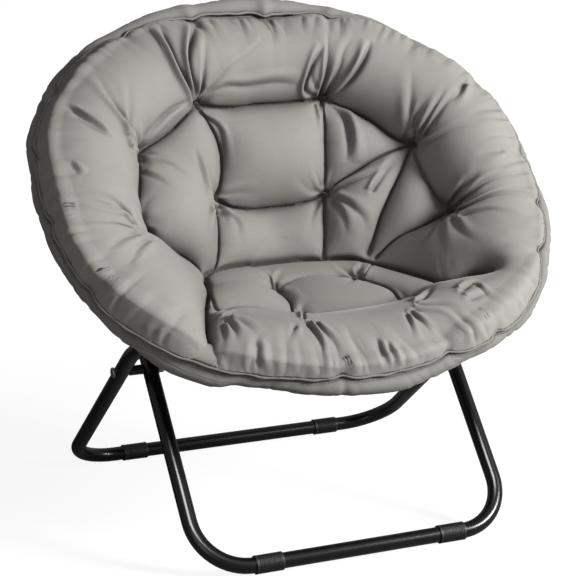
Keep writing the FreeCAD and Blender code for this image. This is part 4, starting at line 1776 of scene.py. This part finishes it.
def stitch_tree() -> bpy.types.NodeTree:
    """Builds the tree that lays small stitches along a line of edges.

    Returns:
        The tree.
    """
    tree = bpy.data.node_groups.new("seam_stitches", "GeometryNodeTree")
    inputs = (("Geometry", "Geometry"), ("Spacing", "Float"), ("Length", "Float"), ("Thread", "Float"))
    for name, kind in (*inputs, ("Finish", "Material")):
        tree.interface.new_socket(name=name, in_out="INPUT", socket_type="NodeSocket" + kind)
    tree.interface.new_socket(name="Geometry", in_out="OUTPUT", socket_type="NodeSocketGeometry")
    nodes = Nodes(tree)
    start = nodes.add("NodeGroupInput")
    curve = nodes.add("GeometryNodeMeshToCurve", Mesh=start.outputs["Geometry"])
    steps = nodes.add("GeometryNodeCurveToPoints", mode="LENGTH", Curve=curve.outputs[0])
    nodes.link(start.outputs["Spacing"], steps.inputs["Length"])
    ball = nodes.add("GeometryNodeMeshUVSphere", Segments=6, Rings=4, Radius=1.0)
    half = nodes.add("ShaderNodeMath", operation="MULTIPLY")
    nodes.link(start.outputs["Length"], half.inputs[0])
    half.inputs[1].default_value = 0.5
    size = nodes.add("ShaderNodeCombineXYZ")
    nodes.link(start.outputs["Thread"], size.inputs[0])
    nodes.link(start.outputs["Thread"], size.inputs[1])
    nodes.link(half.outputs[0], size.inputs[2])
    spread = nodes.add("GeometryNodeInstanceOnPoints", Points=steps.outputs["Points"])
    nodes.link(ball.outputs[0], spread.inputs["Instance"])
    nodes.link(steps.outputs["Rotation"], spread.inputs["Rotation"])
    nodes.link(size.outputs[0], spread.inputs["Scale"])
    real = nodes.add("GeometryNodeRealizeInstances", Geometry=spread.outputs[0])
    finish = nodes.add("GeometryNodeSetMaterial", Geometry=real.outputs[0], Material=start.outputs["Finish"])
    end = nodes.add("NodeGroupOutput")
    nodes.link(finish.outputs[0], end.inputs["Geometry"])
    return tree


@dataclass(frozen=True)
class Lamp:
    """One soft rectangular lamp that faces the chair."""

    name: str
    at: Place
    size: Point
    power: float
    for_gloss: bool = False

    def hang(self, target: Place) -> None:
        """Makes the lamp.

        Args:
            target: The place that it faces.
        """
        data = bpy.data.lights.new(self.name, "AREA")
        data.shape = "RECTANGLE"
        data.size, data.size_y = self.size
        data.energy = self.power
        lamp = bpy.data.objects.new(self.name, data)
        lamp.location = self.at
        lamp.rotation_euler = (Vector(target) - Vector(self.at)).to_track_quat("-Z", "Y").to_euler()
        lamp.visible_diffuse = not self.for_gloss
        bpy.context.scene.collection.objects.link(lamp)


@dataclass
class Studio:
    """A pale floor, a white surround, soft lamps and the camera."""

    view: Picture
    frame_pixels: float = 576.0
    sensor: float = 36.0
    target: Place = (0.0, 0.0, 0.40)
    soft_light: float = 0.045
    gloss_light: float = 0.22
    floor_glow_share: float = 0.80
    floor_glow: Point = (1.13, 1.26)
    glow_reach: Point = (0.7, 2.2)
    floor_paleness: Point = (0.30, 0.90)
    floor_half_width: float = 30.0
    lamps: tuple[Lamp, ...] = (
        Lamp("key_lamp", (2.30, -2.05, 1.66), (0.9, 0.9), 164.0),
        Lamp("fill_lamp", (-2.4, -2.6, 1.3), (1.6, 2.0), 13.0),
        Lamp("gloss_lamp", (-0.5, -1.5, 2.6), (1.1, 1.1), 95.0, for_gloss=True),
    )

    def build(self) -> None:
        """Sets up the camera, the surround, the floor and the lamps."""
        self.camera()
        self.surround()
        self.floor()
        for lamp in self.lamps:
            lamp.hang(self.target)
        bpy.context.scene.view_settings.view_transform = "Standard"

    def camera(self) -> None:
        """Makes the camera at the photograph's viewing angle."""
        data = bpy.data.cameras.new("camera")
        data.sensor_width = self.sensor
        data.lens = self.view.focal_pixels * self.sensor / self.frame_pixels
        half = self.frame_pixels / 2
        data.shift_x = (half - self.view.middle_pixels[0]) / self.frame_pixels
        data.shift_y = (self.view.middle_pixels[1] - half) / self.frame_pixels
        camera = bpy.data.objects.new("camera", data)
        camera.location = self.view.camera_at
        camera.rotation_euler = (math.pi / 2 - self.view.looking_down, 0.0, self.view.heading)
        bpy.context.scene.collection.objects.link(camera)
        bpy.context.scene.camera = camera

    def surround(self) -> None:
        """Makes the white surround that the camera and shiny pieces see, and its plain soft light."""
        world = bpy.data.worlds.new("surround")
        bpy.context.scene.world = world
        world.use_nodes = True
        world.node_tree.nodes.clear()
        nodes = Nodes(world.node_tree)
        rays = nodes.add("ShaderNodeLightPath")
        seen = nodes.add("ShaderNodeMath", operation="MAXIMUM")
        nodes.link(rays.outputs["Is Camera Ray"], seen.inputs[0])
        nodes.link(rays.outputs["Is Transmission Ray"], seen.inputs[1])
        shiny = nodes.add("ShaderNodeMath", operation="MULTIPLY")
        nodes.link(rays.outputs["Is Glossy Ray"], shiny.inputs[0])
        shiny.inputs[1].default_value = self.gloss_light
        either = nodes.add("ShaderNodeMath", operation="MAXIMUM")
        nodes.link(seen.outputs[0], either.inputs[0])
        nodes.link(shiny.outputs[0], either.inputs[1])
        strength = nodes.add("ShaderNodeMapRange", Value=either.outputs[0], To_Min=self.soft_light)
        light = nodes.add("ShaderNodeBackground", Color=(1.0, 1.0, 1.0, 1.0), Strength=strength.outputs[0])
        output = nodes.add("ShaderNodeOutputWorld")
        nodes.link(light.outputs[0], output.inputs["Surface"])

    def floor(self) -> None:
        """Makes the pale floor, white to the camera but for the chair's shadow."""
        half = self.floor_half_width
        corners = np.array([(-half, -half, 0), (half, -half, 0), (half, half, 0), (-half, half, 0)], float)
        floor = make_mesh("floor", corners, np.array([[0, 1, 2, 3]]))
        material, nodes = empty_material("pale_floor")
        rays = nodes.add("ShaderNodeLightPath")
        share = nodes.add("ShaderNodeMath", operation="MULTIPLY")
        nodes.link(rays.outputs["Is Camera Ray"], share.inputs[0])
        share.inputs[1].default_value = self.floor_glow_share
        pale = nodes.add("ShaderNodeMapRange", Value=rays.outputs["Is Camera Ray"])
        pale.inputs["To Min"].default_value, pale.inputs["To Max"].default_value = self.floor_paleness
        plain = nodes.add("ShaderNodeBsdfDiffuse", Color=pale.outputs[0])
        place = nodes.add("ShaderNodeTexCoord").outputs["Object"]
        away = nodes.add("ShaderNodeVectorMath", operation="LENGTH")
        nodes.link(place, away.inputs[0])
        far = nodes.add("ShaderNodeMapRange", Value=away.outputs["Value"])
        far.inputs["From Min"].default_value, far.inputs["From Max"].default_value = self.glow_reach
        far.inputs["To Min"].default_value, far.inputs["To Max"].default_value = self.floor_glow
        glow = nodes.add("ShaderNodeEmission", Color=(1.0, 1.0, 1.0, 1.0), Strength=far.outputs[0])
        mixed = nodes.add("ShaderNodeMixShader", Fac=share.outputs[0])
        nodes.link(plain.outputs[0], mixed.inputs[1])
        nodes.link(glow.outputs[0], mixed.inputs[2])
        dress(floor, finish_material(material, nodes, mixed))


class Chair:
    """The whole folding saucer chair round its CAD frame."""

    bend_zone: float = 0.070

    def __init__(self, picture: Picture) -> None:
        """Takes the photograph's view and makes the finishes.

        Args:
            picture: The view.
        """
        self.picture = picture
        self.bowl = picture.bowl
        self.rim = RimLine(self.bowl)
        pad_cloth = Cloth("cushion_cloth", (0.350, 0.334, 0.312), (0.292, 0.279, 0.260))
        cover_cloth = Cloth("cover_cloth", (0.285, 0.275, 0.260), (0.240, 0.232, 0.219))
        thread = Cloth("tie_thread", (0.16, 0.153, 0.142), (0.10, 0.096, 0.090), sheen=0.1)
        self.finishes: dict[Slot, bpy.types.Material] = {
            Slot.FRAME: PowderCoat().material(),
            Slot.PLASTIC: MouldedPlastic().material(),
            Slot.STEEL: ZincPlate().material(),
            Slot.CUSHION: pad_cloth.material(),
            Slot.COVER: cover_cloth.material(),
            Slot.THREAD: thread.material(),
        }

    def dress_frame(self) -> None:
        """Gives every CAD node the finish that the record names for it."""
        for subpart in frame["record"]["subparts"]:
            node = frame["nodes"][subpart["node"]]
            dress(node, self.finishes[Slot(subpart["material_slot"])])
        log.info("frame: %d nodes dressed", len(frame["nodes"]))

    def cover(self, piece: bpy.types.Object, slot: Slot, *nodes: str) -> None:
        """Turns a cloth piece's modifiers into mesh, bakes its placing and hides the CAD nodes that it stands for.

        Args:
            piece: The finished piece.
            slot: Not used.
            nodes: The CAD nodes that it stands for.
        """
        start, end = self.bowl.fold_line(self.bend_zone)
        if piece.modifiers:
            apply_nodes(piece)
        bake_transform(piece)
        if nodes:
            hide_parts(*nodes)
        log.info("%s: %d faces", piece.name, len(piece.data.polygons))

    def build(self) -> None:
        """Builds every piece of cloth and dresses the frame."""
        self.dress_frame()
        cushion = Cushion(self.bowl, self.picture, self.finishes[Slot.CUSHION]).build()
        self.cover(cushion, Slot.CUSHION, "back_cushion", "seat_cushion")
        sleeve = RimSleeve(self.rim, self.finishes[Slot.COVER]).build()
        self.cover(sleeve, Slot.COVER, "back_rim_sleeve", "seat_rim_sleeve")
        piping = Piping(self.rim, self.finishes[Slot.COVER]).build()
        self.cover(piping, Slot.COVER, "back_piping", "seat_piping")
        under = UnderCover(self.bowl, self.finishes[Slot.COVER])
        sling = under.build()
        self.cover(sling, Slot.COVER, "back_under_cover", "seat_under_cover")
        knots = TieKnots(self.bowl, self.finishes[Slot.THREAD]).build()
        self.cover(knots, Slot.THREAD, "back_tufts", "seat_tufts")
        stitches = SeamStitches(self.rim, self.finishes[Slot.THREAD]).build()
        self.cover(stitches, Slot.THREAD)


def photograph_view() -> Picture:
    """Gives the photograph's view, over a bowl whose rim folds at the record's own hinge.

    Returns:
        The view.
    """
    hinge = next(joint for joint in frame["joints"] if joint["name"] == "rim_fold")
    return Picture(
        bowl=Bowl(hinge_y=hinge["pos_m"][1], hinge_z=hinge["pos_m"][2]),
        camera_at=(-0.9252, -2.17404, 0.9053),
        heading=math.radians(-22.806),
        looking_down=math.radians(13.645),
        focal_pixels=1646.5,
        middle_pixels=(287.2, 286.9),
    )


def main() -> None:
    """Sets the camera and the studio, then builds the chair in order."""
    logging.basicConfig(level=logging.INFO, format="%(name)s: %(message)s")
    view = photograph_view()
    Studio(view).build()
    Chair(view).build()


if __name__ == "__main__":
    main()
